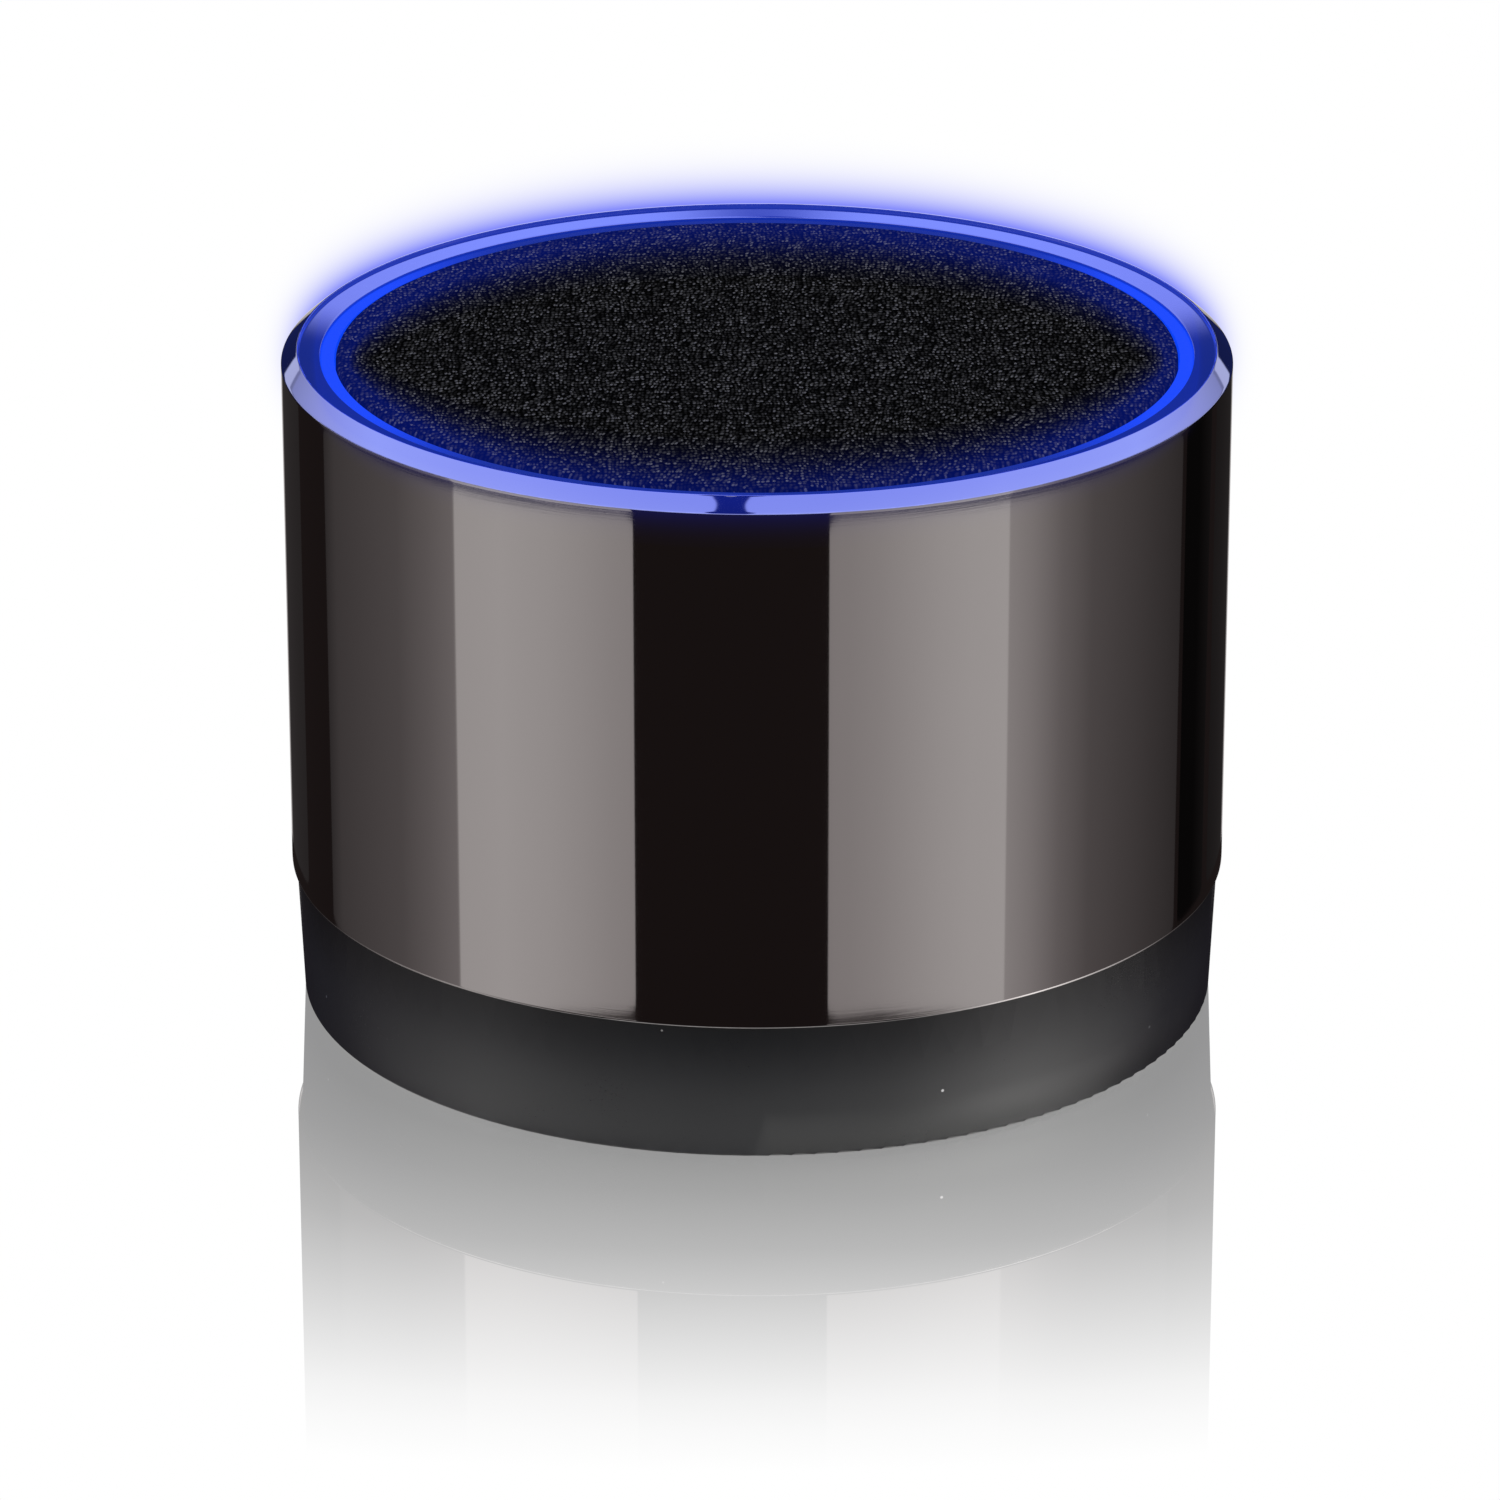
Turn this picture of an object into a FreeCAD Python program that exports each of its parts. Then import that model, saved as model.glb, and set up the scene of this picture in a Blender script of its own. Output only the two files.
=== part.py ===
# Round Bluetooth audio receiver with its own loudspeaker, modelled as it comes apart on a bench.
# A glossy metal shell with a cut upper edge stands on a matt base. A lit ring and a cloth grille
# close the top. Sockets, a slide switch and three keys sit in the back of the base.
# Millimetres, +Z up, origin at the centre of the face that the foot ring stands on.
# Everything that faces the back is built facing +Y, then turned about Z by its own angle.
import FreeCAD, Part
import math
import os

V = FreeCAD.Vector
UP = V(0, 0, 1)
BACK = V(0, 1, 0)

# Driving dimensions
shell_radius = 33.0
total_height = 47.5
base_height = 9.9
foot_proud = 0.1

# Outer shell
shell_wall = 1.2
cut_width = 1.1
cut_height = 0.9
shell_bore = shell_radius - shell_wall
shell_edge = 0.15

# Base housing and bottom cover
base_top_radius = 32.7
base_foot_radius = 32.26
base_corner = 0.3
base_bore = 30.2
spigot_height = 3.0
spigot_outer = shell_bore - 0.1
spigot_inner = 30.9
cover_radius = 30.1
cover_top = 2.0
ledge_inner = 29.2
ledge_thick = 1.0

# Foot ring
foot_inner = 22.5
foot_outer = 28.3
foot_thick = 1.0
fit_gap = 0.1

# Chassis
chassis_radius = 31.6
chassis_wall = 1.6
floor_bottom = 9.6
floor_top = 10.6
baffle_top = 40.0
baffle_thick = 1.2
baffle_opening = 23.2
rim_top = 42.4
cover_screw_circle = 25.0
cover_screw_angles = (80, 200, 320)
board_screw_circle = 20.0
board_screw_angles = (20, 140, 260)
ear_circle = 26.5
ear_angles = (45, 135, 225, 315)

# Top end: light ring, trim and grille
ring_inner = 29.3
ring_outer = 30.27
ring_top = total_height - 0.7
ring_flange_bottom = 44.0
ring_flange_top = 45.0
led_board_thick = 0.8
led_count = 12
led_circle = 29.3
grille_radius = 28.6
grille_bottom = 45.52
grille_top = 46.4
cloth_radius = 29.2
cloth_crown = 47.2
cloth_edge_top = 47.0
hem_inner = 26.6
perforation_rings = 7
perforation_pitch = 3.6
perforation_radius = 1.1

# Loudspeaker driver
flange_radius = 25.0
flange_thick = 1.0
cone_rim = 19.4
coil_radius = 7.95
coil_middle = 26.5
magnet_radius = 16.0
yoke_bottom = 18.5
plate_thick = 2.0
magnet_thick = 5.0
pole_radius = 7.4
spider_level = 31.0
spider_outer = 17.4
spider_waves = 5
terminal_angle = 180
terminal_top = 30.2

# Electronics
board_radius = 28.5
board_bottom = 3.4
board_top = 4.4
key_level = 6.15
key_angles = {"volume_down": 62, "play": 50, "volume_up": 38}
key_radius = 2.3
key_face = 32.95
switch_angle = 19
switch_travel = 2.0
port_angle = -19
mic_angle = -54
mic_level = 6.4
jack_radius = 1.8
jack_barrel = 2.4
jack_level = 6.8
jack_mouth = 32.2
jack_depth = 14.0
battery_length = 34.0
battery_width = 30.0
battery_height = 7.0
battery_bottom = 10.9
wire_radius = 0.45
wire_pitch = 1.1
led_lead_place = (8.0, -27.0)
lead_sockets = {"battery": (22.0, 5.0, 90), "speaker": (-3.2, -22.6, 0), "led": (3.2, -22.6, 0)}


def outline(*steps):
    """A closed face in the XZ plane from (r, z) points; a pair of points is an arc's middle and end."""
    edges = []
    here = first = V(steps[0][0], 0, steps[0][1])
    for step in list(steps[1:]) + [steps[0]]:
        if isinstance(step[0], tuple):
            middle, end = (V(r, 0, z) for r, z in step)
            edges.append(Part.Arc(here, middle, end).toShape())
        else:
            end = V(step[0], 0, step[1])
            if (end - here).Length > 1e-7:
                edges.append(Part.LineSegment(here, end).toShape())
        here = end
    assert (here - first).Length < 1e-7
    return Part.Face(Part.Wire(edges))


def spun(*steps):
    """The outline turned a full circle about Z."""
    return outline(*steps).revolve(V(0, 0, 0), UP, 360)


def dome_middle(radius, low, crown):
    """The point halfway along a dome's arc, from its crown on the axis to its low edge."""
    rise = crown - low
    sphere = (radius**2 + rise**2) / (2 * rise)
    half_angle = math.asin(radius / sphere) / 2
    return sphere * math.sin(half_angle), crown - sphere * (1 - math.cos(half_angle))


def disc(radius, bottom, top, x=0.0, y=0.0):
    return Part.makeCylinder(radius, top - bottom, V(x, y, bottom), UP)


def ring(inner, outer, bottom, top):
    return disc(outer, bottom, top).cut(disc(inner, bottom, top))


def block(x0, x1, y0, y1, z0, z1):
    return Part.makeBox(x1 - x0, y1 - y0, z1 - z0, V(x0, y0, z0))


def rod(radius, start, end, level, x=0.0):
    """A round bar lying along +Y."""
    return Part.makeCylinder(radius, end - start, V(x, start, level), BACK)


def slot_bar(width, height, start, end, level, x=0.0):
    """A bar along +Y whose section is a slot with round ends."""
    half = (width - height) / 2
    middle = block(x - half, x + half, start, end, level - height / 2, level + height / 2)
    ends = [rod(height / 2, start, end, level, x + side * half) for side in (-1, 1)]
    return middle.fuse(ends).removeSplitter()


def turned(shape, angle):
    copy = shape.copy()
    copy.rotate(V(0, 0, 0), UP, angle)
    return copy


def around(shape, angles):
    return [turned(shape, angle) for angle in angles]


def polar(radius, angle):
    """The point at this radius, with the angle counted from +Y, anticlockwise from above."""
    a = math.radians(angle)
    return -radius * math.sin(a), radius * math.cos(a)


def group(solids):
    return Part.makeCompound(solids)


def wire(points, radius=wire_radius, bend=2.0):
    """A round wire through the points, with its corners rounded by tangent arcs."""
    corners = [V(*p) for p in points]
    edges = []
    here = corners[0]
    for before, corner, after in zip(corners, corners[1:], corners[2:]):
        back = (before - corner).normalize()
        ahead = (after - corner).normalize()
        half_turn = back.getAngle(ahead) / 2
        reach = bend / math.tan(half_turn)
        start, end = corner + back * reach, corner + ahead * reach
        inward = (back + ahead).normalize()
        middle = corner + inward * (bend / math.sin(half_turn) - bend)
        edges.append(Part.LineSegment(here, start).toShape())
        edges.append(Part.Arc(start, middle, end).toShape())
        here = end
    edges.append(Part.LineSegment(here, corners[-1]).toShape())
    along = (corners[1] - corners[0]).normalize()
    section = Part.Wire(Part.makeCircle(radius, corners[0], along))
    return Part.Wire(edges).makePipeShell([section], True, False)


def cross_recess(size, depth, top, x, y):
    """The cutter for a screw's cross, opening upwards at top."""
    arm = size / 5
    return block(x - size, x + size, y - arm, y + arm, top - depth, top).fuse(
        block(x - arm, x + arm, y - size, y + size, top - depth, top)
    )


def pan_screw(x, y, seat, head_radius, head_height, shank_radius, length):
    """A pan-head screw that points down from its seat."""
    head = disc(head_radius, seat, seat + head_height, x, y)
    head = head.makeFillet(head_height * 0.45, [e for e in head.Edges if e.BoundBox.ZMin > seat + 1e-6])
    shank = disc(shank_radius, seat - length, seat, x, y)
    cross = cross_recess(head_radius * 0.6, head_height * 0.55, seat + head_height, x, y)
    return head.fuse(shank).cut(cross)


def upside_down(shape, level):
    """The shape mirrored end for end about a horizontal line at this level."""
    copy = shape.copy()
    copy.rotate(V(0, 0, level), V(1, 0, 0), 180)
    return copy


# Outer casings


def shell():
    top = total_height
    return spun(
        (shell_bore, base_height),
        (shell_radius - shell_edge, base_height),
        (shell_radius, base_height + shell_edge),
        (shell_radius, top - cut_height),
        (shell_radius - cut_width, top),
        (shell_bore, top),
    )


def base_housing():
    foot = foot_proud
    slope = (base_top_radius - base_foot_radius) / (base_height - foot)
    corner_top = foot + base_corner
    corner_radius = base_foot_radius + slope * base_corner
    band = spun(
        (base_bore, foot),
        (corner_radius - base_corner, foot),
        (
            (corner_radius - base_corner * (1 - math.sqrt(0.5)), foot + base_corner * (1 - math.sqrt(0.5))),
            (corner_radius, corner_top),
        ),
        (base_top_radius, base_height),
        (spigot_outer, base_height),
        (spigot_outer, base_height + spigot_height),
        (spigot_inner, base_height + spigot_height),
        (spigot_inner, floor_bottom),
        (base_bore, floor_bottom),
        (base_bore, cover_top + ledge_thick),
        (ledge_inner, cover_top + ledge_thick),
        (ledge_inner, cover_top),
        (base_bore, cover_top),
    )
    inside, outside = base_bore - 1.5, shell_radius + 1
    keys = [turned(rod(key_radius + 0.15, inside, outside, key_level), a) for a in key_angles.values()]
    switch = turned(slot_bar(6.2, 2.1, inside, outside, key_level), switch_angle)
    port = turned(slot_bar(9.2, 3.6, inside, outside, board_top + 1.4), port_angle)
    port_shelf = turned(slot_bar(11.2, 5.4, shell_radius - 1.3, outside, board_top + 1.4), port_angle)
    jack_hole = jack_barrel + 0.15
    jack = rod(jack_hole, inside, 31.9, jack_level)
    jack_dish = Part.makeCone(jack_hole, jack_hole + 0.35, 0.9, V(0, 31.9, jack_level), BACK)
    mic = turned(rod(0.5, inside, outside, mic_level), mic_angle)
    return band.cut(keys + [switch, port, port_shelf, jack, jack_dish, mic])


def bottom_cover():
    plate = spun(
        (0, foot_proud + 0.25),
        (17.6, foot_proud + 0.25),
        (18.0, foot_proud),
        (foot_inner - fit_gap, foot_proud),
        (foot_inner - fit_gap, foot_thick),
        (foot_outer + fit_gap, foot_thick),
        (foot_outer + fit_gap, foot_proud),
        (cover_radius, foot_proud),
        (cover_radius, cover_top),
        (0, cover_top),
    )
    x, y = polar(cover_screw_circle, 0)
    hole = Part.makeCone(2.15, 1.15, cover_top - foot_thick, V(x, y, foot_thick), UP)
    return plate.cut(around(hole, cover_screw_angles))


def foot_ring():
    edge = 0.2
    return spun(
        (foot_inner, edge),
        (foot_inner + edge, 0),
        (foot_outer - edge, 0),
        (foot_outer, edge),
        (foot_outer, foot_thick),
        (foot_inner, foot_thick),
    )


def cover_screws():
    x, y = polar(cover_screw_circle, 0)
    head = Part.makeCone(2.1, 0.95, cover_top - foot_thick, V(x, y, foot_thick), UP)
    shank = disc(0.95, cover_top, 7.5, x, y)
    cross = upside_down(cross_recess(1.2, 0.6, foot_thick, x, y), foot_thick)
    cross.translate(V(0, 2 * y, 0))
    return group(around(head.fuse(shank).cut(cross), cover_screw_angles))


# Chassis


def chassis():
    wall_inner = chassis_radius - chassis_wall
    lower_radius = spigot_inner - fit_gap
    step = base_height + spigot_height + fit_gap
    body = spun(
        (0, floor_bottom),
        (lower_radius, floor_bottom),
        (lower_radius, step),
        (chassis_radius, step),
        (chassis_radius, rim_top),
        (wall_inner, rim_top),
        (wall_inner, baffle_top),
        (baffle_opening, baffle_top),
        (baffle_opening, baffle_top - baffle_thick),
        (wall_inner, baffle_top - baffle_thick),
        (wall_inner, floor_top),
        (0, floor_top),
    )
    adds = chassis_bosses() + chassis_ribs()
    body = body.fuse(adds).removeSplitter()
    return body.cut(chassis_holes())


def chassis_bosses():
    cover_boss = disc(2.6, cover_top, floor_bottom, *polar(cover_screw_circle, 0))
    board_boss = disc(1.9, board_top, floor_bottom, *polar(board_screw_circle, 0))
    ear_boss = disc(2.2, 33.8, baffle_top - baffle_thick, *polar(ear_circle, 0))
    return (
        around(cover_boss, cover_screw_angles)
        + around(board_boss, board_screw_angles)
        + around(ear_boss, ear_angles)
    )


def chassis_ribs():
    """Crush ribs that grip the shell, and the low fence that keeps the battery in place."""
    crush = block(-0.8, 0.8, chassis_radius - 0.4, shell_bore - 0.03, 15, 40)
    half_x, half_y = battery_length / 2 + 0.3, battery_width / 2 + 0.3
    top = floor_top + 2.4
    fence = block(-half_x - 1, half_x + 1, -half_y - 1, half_y + 1, floor_top, top)
    fence = fence.cut(block(-half_x, half_x, -half_y, half_y, floor_top, top))
    gap = half_y - 5
    fence = fence.cut(block(-half_x - 2, half_x + 2, -gap, gap, floor_top, top))
    return around(crush, range(30, 390, 60)) + [fence]


def chassis_holes():
    cover_pilot = disc(1.0, cover_top, 8.6, *polar(cover_screw_circle, 0))
    board_pilot = disc(0.7, board_top, 8.6, *polar(board_screw_circle, 0))
    ear_pilot = disc(0.85, 34.6, baffle_top, *polar(ear_circle, 0))
    x, y, _ = lead_sockets["battery"]
    battery_leads_slot = block(x - 2, x + 3, y - 3, y + 3, floor_bottom, floor_top)
    front_leads_slot = block(-5, 5, -26, -21.5, floor_bottom, floor_top)
    x, y = led_lead_place
    led_leads_notch = block(x - 2.5, x + 2.5, y - 1.6, y + 2, baffle_top - baffle_thick, baffle_top)
    return (
        around(cover_pilot, cover_screw_angles)
        + around(board_pilot, board_screw_angles)
        + around(ear_pilot, ear_angles)
        + [battery_leads_slot, front_leads_slot, led_leads_notch]
    )


# Top end


def led_board():
    return ring(27.6, chassis_radius - fit_gap, rim_top, rim_top + led_board_thick)


def led_angles():
    step = 360 / led_count
    return [step / 2 + i * step for i in range(led_count)]


def ring_leds():
    bottom = rim_top + led_board_thick
    package = block(-1.75, 1.75, led_circle - 1.4, led_circle + 1.4, bottom, bottom + 0.75)
    window = disc(1.15, bottom + 0.6, bottom + 0.75, 0, led_circle)
    return group(around(package.cut(window), led_angles()))


def led_resistors():
    bottom = rim_top + led_board_thick
    chip = block(-0.8, 0.8, led_circle - 1.3, led_circle - 0.5, bottom, bottom + 0.45)
    return group(around(chip, [angle - 180 / led_count for angle in led_angles()]))


def light_ring():
    """Frosted light guide: a lit upper edge, a wide flange, and an outer foot on the LED board."""
    foot_bottom = rim_top + led_board_thick
    outer = shell_bore - fit_gap
    middle = (ring_inner + ring_outer) / 2
    return spun(
        (27.9, ring_flange_bottom),
        (outer - 0.9, ring_flange_bottom),
        (outer - 0.9, foot_bottom),
        (outer - 0.2, foot_bottom),
        (outer - 0.2, ring_flange_top),
        (ring_outer, ring_flange_top),
        (ring_outer, ring_top),
        ((middle, ring_top + 0.05), (ring_inner, ring_top)),
        (ring_inner, ring_flange_top),
        (27.9, ring_flange_top),
    )


def bezel_ring():
    """Glossy trim that slopes from the shell's cut edge down to the lit ring."""
    outer = shell_bore - 0.05
    inner = ring_outer + 0.03
    return spun(
        (inner, ring_flange_top),
        (outer, ring_flange_top),
        (outer, total_height - 0.34),
        ((outer - 0.03, total_height - 0.27), (outer - 0.1, total_height - 0.24)),
        (inner + 0.1, ring_top + 0.18),
        ((inner + 0.03, ring_top + 0.15), (inner, ring_top + 0.08)),
    )


def grille_plate():
    plate = disc(grille_radius, grille_bottom, grille_top)
    holes = [disc(perforation_radius, grille_bottom, grille_top)]
    for k in range(1, perforation_rings + 1):
        hole = disc(perforation_radius, grille_bottom, grille_top, 0, k * perforation_pitch)
        holes += around(hole, [60 * i / k for i in range(6 * k)])
    return plate.cut(holes)


def grille_cloth():
    """Knitted cloth over a thin foam layer, wrapped round the plate's edge with a hem beneath."""
    gap = 0.02
    shoulder = 0.35
    edge = cloth_radius - shoulder
    return spun(
        (0, cloth_crown),
        (dome_middle(edge, cloth_edge_top, cloth_crown), (edge, cloth_edge_top)),
        (
            (edge + shoulder * math.sqrt(0.5), cloth_edge_top - shoulder * (1 - math.sqrt(0.5))),
            (cloth_radius, cloth_edge_top - shoulder),
        ),
        (cloth_radius, ring_flange_top + gap),
        (hem_inner, ring_flange_top + gap),
        (hem_inner, grille_bottom - gap),
        (grille_radius + gap, grille_bottom - gap),
        (grille_radius + gap, grille_top + gap),
        (0, grille_top + gap),
    )


# Loudspeaker driver


def driver_basket():
    top, bottom = baffle_top + flange_thick, baffle_top
    frame = spun(
        (flange_radius, top),
        (22.2, top),
        (spider_outer + 0.4, spider_level),
        (15.2, spider_level),
        (14.7, 28.3),
        (9.2, 28.3),
        (9.2, 27.5),
        (15.4, 27.5),
        (15.9, 30.2),
        (spider_outer + 1.0, 30.2),
        (22.8, bottom),
        (flange_radius, bottom),
    )
    ear = block(-3, 3, flange_radius - 1, ear_circle, bottom, top).fuse(disc(3, bottom, top, 0, ear_circle))
    ear = ear.cut(disc(22.5, bottom, top))
    frame = frame.fuse(around(ear, ear_angles)).removeSplitter()
    screw_hole = disc(1.15, bottom, top, 0, ear_circle)
    window = block(-4.5, 4.5, 15, 26, 32.2, 38.4)
    return frame.cut(around(screw_hole, ear_angles) + around(window, range(0, 360, 60)))


def driver_gasket():
    return ring(23.0, 24.6, baffle_top + flange_thick + 0.35, 42.3)


def driver_screws():
    x, y = polar(ear_circle, 0)
    screw = pan_screw(x, y, baffle_top + flange_thick, 1.7, 1.2, 0.8, 5.6)
    return group(around(screw, ear_angles))


def top_plate():
    bottom = yoke_bottom + plate_thick + magnet_thick
    return ring(8.6, magnet_radius, bottom, bottom + plate_thick)


def magnet():
    bottom = yoke_bottom + plate_thick
    return ring(9.5, magnet_radius, bottom, bottom + magnet_thick)


def yoke():
    back = disc(magnet_radius, yoke_bottom, yoke_bottom + plate_thick)
    pole = disc(pole_radius, yoke_bottom + plate_thick, coil_middle + 1)
    return back.fuse(pole).removeSplitter()


def coil_former():
    return ring(coil_radius - 0.15, coil_radius, coil_middle - 2.5, 33.2)


def voice_coil():
    return ring(coil_radius, coil_radius + 0.35, coil_middle - 2.25, coil_middle + 2.25)


def driver_cone():
    """Paper cone with a flat rim for the surround and a short neck on the coil former."""
    level = baffle_top + flange_thick
    neck = coil_radius + 0.02
    return spun(
        (neck, 32.2),
        (neck + 0.5, 32.2),
        (neck + 0.5, 33.0),
        (cone_rim - 1.0, level - 0.4),
        (cone_rim, level - 0.4),
        (cone_rim, level),
        (cone_rim - 1.3, level),
        (neck, 33.6),
    )


def dust_cap():
    """Dome glued inside the cone just above its neck."""
    rim, low, crown, thick = 8.1, 33.75, 36.2, 0.3
    inner = rim - thick
    return spun(
        (0, crown),
        (dome_middle(rim, low, crown), (rim, low)),
        (inner, low),
        (dome_middle(inner, low, crown - thick), (0, crown - thick)),
    )


def cone_surround():
    """Half-roll rubber suspension between the cone's rim and the flange."""
    level = baffle_top + flange_thick
    top = level + 0.35
    inner_roll, outer_roll = cone_rim + 0.2, 22.4
    middle = (inner_roll + outer_roll) / 2
    radius = (outer_roll - inner_roll) / 2
    return spun(
        (cone_rim - 1.0, level),
        (inner_roll, level),
        ((middle, level + radius), (outer_roll, level)),
        (24.4, level),
        (24.4, top),
        (outer_roll + 0.2, top),
        ((middle, level + radius + 0.4), (inner_roll - 0.2, top)),
        (cone_rim - 1.0, top),
    )


def spider():
    """Corrugated cloth disc that centres the coil, glued to the basket's inner ledge."""
    inner, wavy_outer = coil_radius + 0.02, spider_outer - 2.0
    lift, thick = 0.4, 0.25
    level = spider_level
    step = (wavy_outer - inner) / spider_waves
    upper, lower = [], []
    for i in range(spider_waves):
        start, end = inner + i * step, inner + (i + 1) * step
        side = lift if i % 2 == 0 else -lift
        upper.append((((start + end) / 2, level + thick + side), (end, level + thick)))
        lower.insert(0, (((start + end) / 2, level + side), (start, level)))
    rim = [(spider_outer, level + thick), (spider_outer, level), (wavy_outer, level)]
    return spun((inner, level + thick), *upper, *rim, *lower)


def terminal_strip():
    strip = block(-4, 4, 16.0, 20.0, terminal_top - 0.8, terminal_top)
    return turned(strip, terminal_angle)


def solder_tabs():
    tab = block(-0.9, 0.9, 18.6, 21.4, terminal_top - 1.1, terminal_top - 0.8)
    tabs = []
    for side in (-2.2, 2.2):
        copy = tab.copy()
        copy.translate(V(side, 0, 0))
        tabs.append(turned(copy, terminal_angle))
    return group(tabs)


# Electronics


def main_board():
    board = disc(board_radius, board_bottom, board_top)
    boss_hole = disc(2.9, board_bottom, board_top, *polar(cover_screw_circle, 0))
    screw_hole = disc(1.0, board_bottom, board_top, *polar(board_screw_circle, 0))
    return board.cut(around(boss_hole, cover_screw_angles) + around(screw_hole, board_screw_angles))


def board_screws():
    x, y = polar(board_screw_circle, 0)
    screw = pan_screw(x, y, board_bottom, 1.6, 0.9, 0.65, 4.6)
    screw = upside_down(screw, board_bottom)
    screw.translate(V(0, 2 * y, 0))
    return group(around(screw, board_screw_angles))


def board_chips():
    """Radio, amplifier, charger and memory packages: centre x, y, length, width and height."""
    packages = {
        "radio": (0, 0, 7.0, 7.0, 0.9),
        "amplifier": (10.5, -7, 5.0, 4.4, 1.5),
        "charger": (13.0, 5, 4.9, 3.9, 1.5),
        "memory": (-9.5, 3, 5.3, 5.3, 1.7),
        "crystal": (-1.0, -7.5, 3.2, 2.5, 0.8),
        "inductor": (5.0, 9.0, 4.0, 4.0, 2.0),
        "regulator": (-8.0, -6.0, 3.0, 2.9, 1.1),
    }
    chips = []
    for x, y, length, width, height in packages.values():
        half_x, half_y = length / 2, width / 2
        chips.append(block(x - half_x, x + half_x, y - half_y, y + half_y, board_top, board_top + height))
    return group(chips)


def board_capacitors():
    """Electrolytic cans and a row of small ceramic chips."""
    solids = [disc(2.5, board_top, board_top + 4.6, x, y) for x, y in ((16.5, -9.5), (-15.5, -3.0))]
    for i in range(7):
        x = -9 + 3 * i
        solids.append(block(x - 0.5, x + 0.5, -12.4, -11.6, board_top, board_top + 0.5))
        solids.append(block(x - 0.5, x + 0.5, 12.6, 13.4, board_top, board_top + 0.5))
    return group(solids)


def board_connectors():
    """Three two-way sockets that the battery, speaker and LED leads plug into."""
    sockets = []
    for x, y, turn in lead_sockets.values():
        body = block(-2.2, 2.2, -1.5, 1.5, board_top, board_top + 3.0)
        pocket = block(-1.7, 1.7, -1.0, 1.0, board_top + 2.0, board_top + 3.0)
        body = turned(body.cut(pocket), turn)
        body.translate(V(x, y, 0))
        sockets.append(body)
    return group(sockets)


def chip_antenna():
    return turned(block(-3.5, 3.5, 25.6, 27.4, board_top, board_top + 1.0), 150)


def microphone():
    return turned(rod(2.0, 27.2, 29.0, mic_level), mic_angle)


def microphone_boot():
    sleeve = rod(1.9, 29.0, 29.95, mic_level).cut(rod(0.7, 29.0, 29.95, mic_level))
    return turned(sleeve, mic_angle)


def port_section(width, height, y0, y1, foot):
    """A bar along +Y with a micro socket's section: a flat top and narrower bottom."""
    top, bottom = foot + height, foot
    corners = [
        (-width / 2, top),
        (width / 2, top),
        (width / 2, bottom + height * 0.42),
        (width / 2 - height * 0.42, bottom),
        (-width / 2 + height * 0.42, bottom),
        (-width / 2, bottom + height * 0.42),
    ]
    wire_points = [V(x, y0, z) for x, z in corners]
    return Part.Face(Part.makePolygon(wire_points + wire_points[:1])).extrude(V(0, y1 - y0, 0))


def charging_port_shell():
    """Folded steel shroud, open at its mouth."""
    outer = port_section(7.5, 2.8, 25.4, 31.2, board_top)
    inner = port_section(6.9, 2.2, 25.9, 31.2, board_top + 0.3)
    return turned(outer.cut(inner), port_angle)


def charging_port_tongue():
    tongue = block(-2.2, 2.2, 25.9, 30.6, board_top + 1.5, board_top + 2.1)
    return turned(tongue, port_angle)


def aux_jack():
    body = block(-3.1, 3.1, 16.5, 28.4, board_top, jack_level + jack_barrel)
    barrel = rod(jack_barrel, 28.4, jack_mouth, jack_level)
    return body.fuse(barrel).cut(rod(jack_radius, jack_mouth - jack_depth, jack_mouth, jack_level))


def aux_contacts():
    """Sprung contact blades on the jack's two sides."""
    blades = []
    for y in (18.6, 22.4, 26.0):
        blades.append(block(3.1, 3.35, y, y + 1.4, board_top, board_top + 3.6))
    blades.append(block(-3.35, -3.1, 19.8, 21.2, board_top, board_top + 3.6))
    blades.append(block(-3.35, -3.1, 24.6, 26.0, board_top, board_top + 3.6))
    return group(blades)


# Keys and slide switch


def key_cap(mark):
    """A round key with a hidden collar. The mark is sunk a little into its face."""
    front = rod(key_radius, 29.9, key_face, key_level)
    front = front.makeFillet(0.35, [e for e in front.Edges if e.BoundBox.YMin > key_face - 1e-6])
    cap = front.fuse(rod(3.0, 29.5, 29.9, key_level)).removeSplitter()
    depth, arm, half = 0.15, 0.2, 0.95
    floor = key_face - depth
    bar = block(-half, half, floor, key_face, key_level - arm, key_level + arm)
    if mark == "plus":
        bar = bar.fuse(block(-arm, arm, floor, key_face, key_level - half, key_level + half))
    if mark == "play":
        places = [(half * 0.8, -half), (half * 0.8, half), (-half, 0), (half * 0.8, -half)]
        corners = [V(x, floor, key_level + z) for x, z in places]
        bar = Part.Face(Part.makePolygon(corners)).extrude(V(0, depth, 0))
    return cap.cut(bar)


def key_plunger():
    return rod(0.8, 27.4, 29.5, key_level)


def key_switches():
    """Side-push switch bodies, one behind each key."""
    body = block(-2.35, 2.35, 25.4, 28.4, board_top, board_top + 3.5)
    body = body.cut(rod(0.9, 26.9, 28.4, key_level))
    return group(around(body, key_angles.values()))


def power_switch_body():
    body = block(-4.3, 4.3, 25.4, 28.4, board_top, board_top + 3.5)
    cavity = block(-3.2, 3.2, 26.2, 27.9, board_top + 0.6, board_top + 2.9)
    mouth = block(-2.1, 2.1, 27.9, 28.4, key_level - 0.8, key_level + 0.8)
    return turned(body.cut([cavity, mouth]), switch_angle)


def switch_lever():
    x = -switch_travel / 2
    carriage = block(x - 1.6, x + 1.6, 26.4, 27.7, key_level - 0.9, key_level + 0.9)
    stem = block(x - 0.8, x + 0.8, 27.7, 29.2, key_level - 0.6, key_level + 0.6)
    return turned(carriage.fuse(stem).removeSplitter(), switch_angle)


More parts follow.
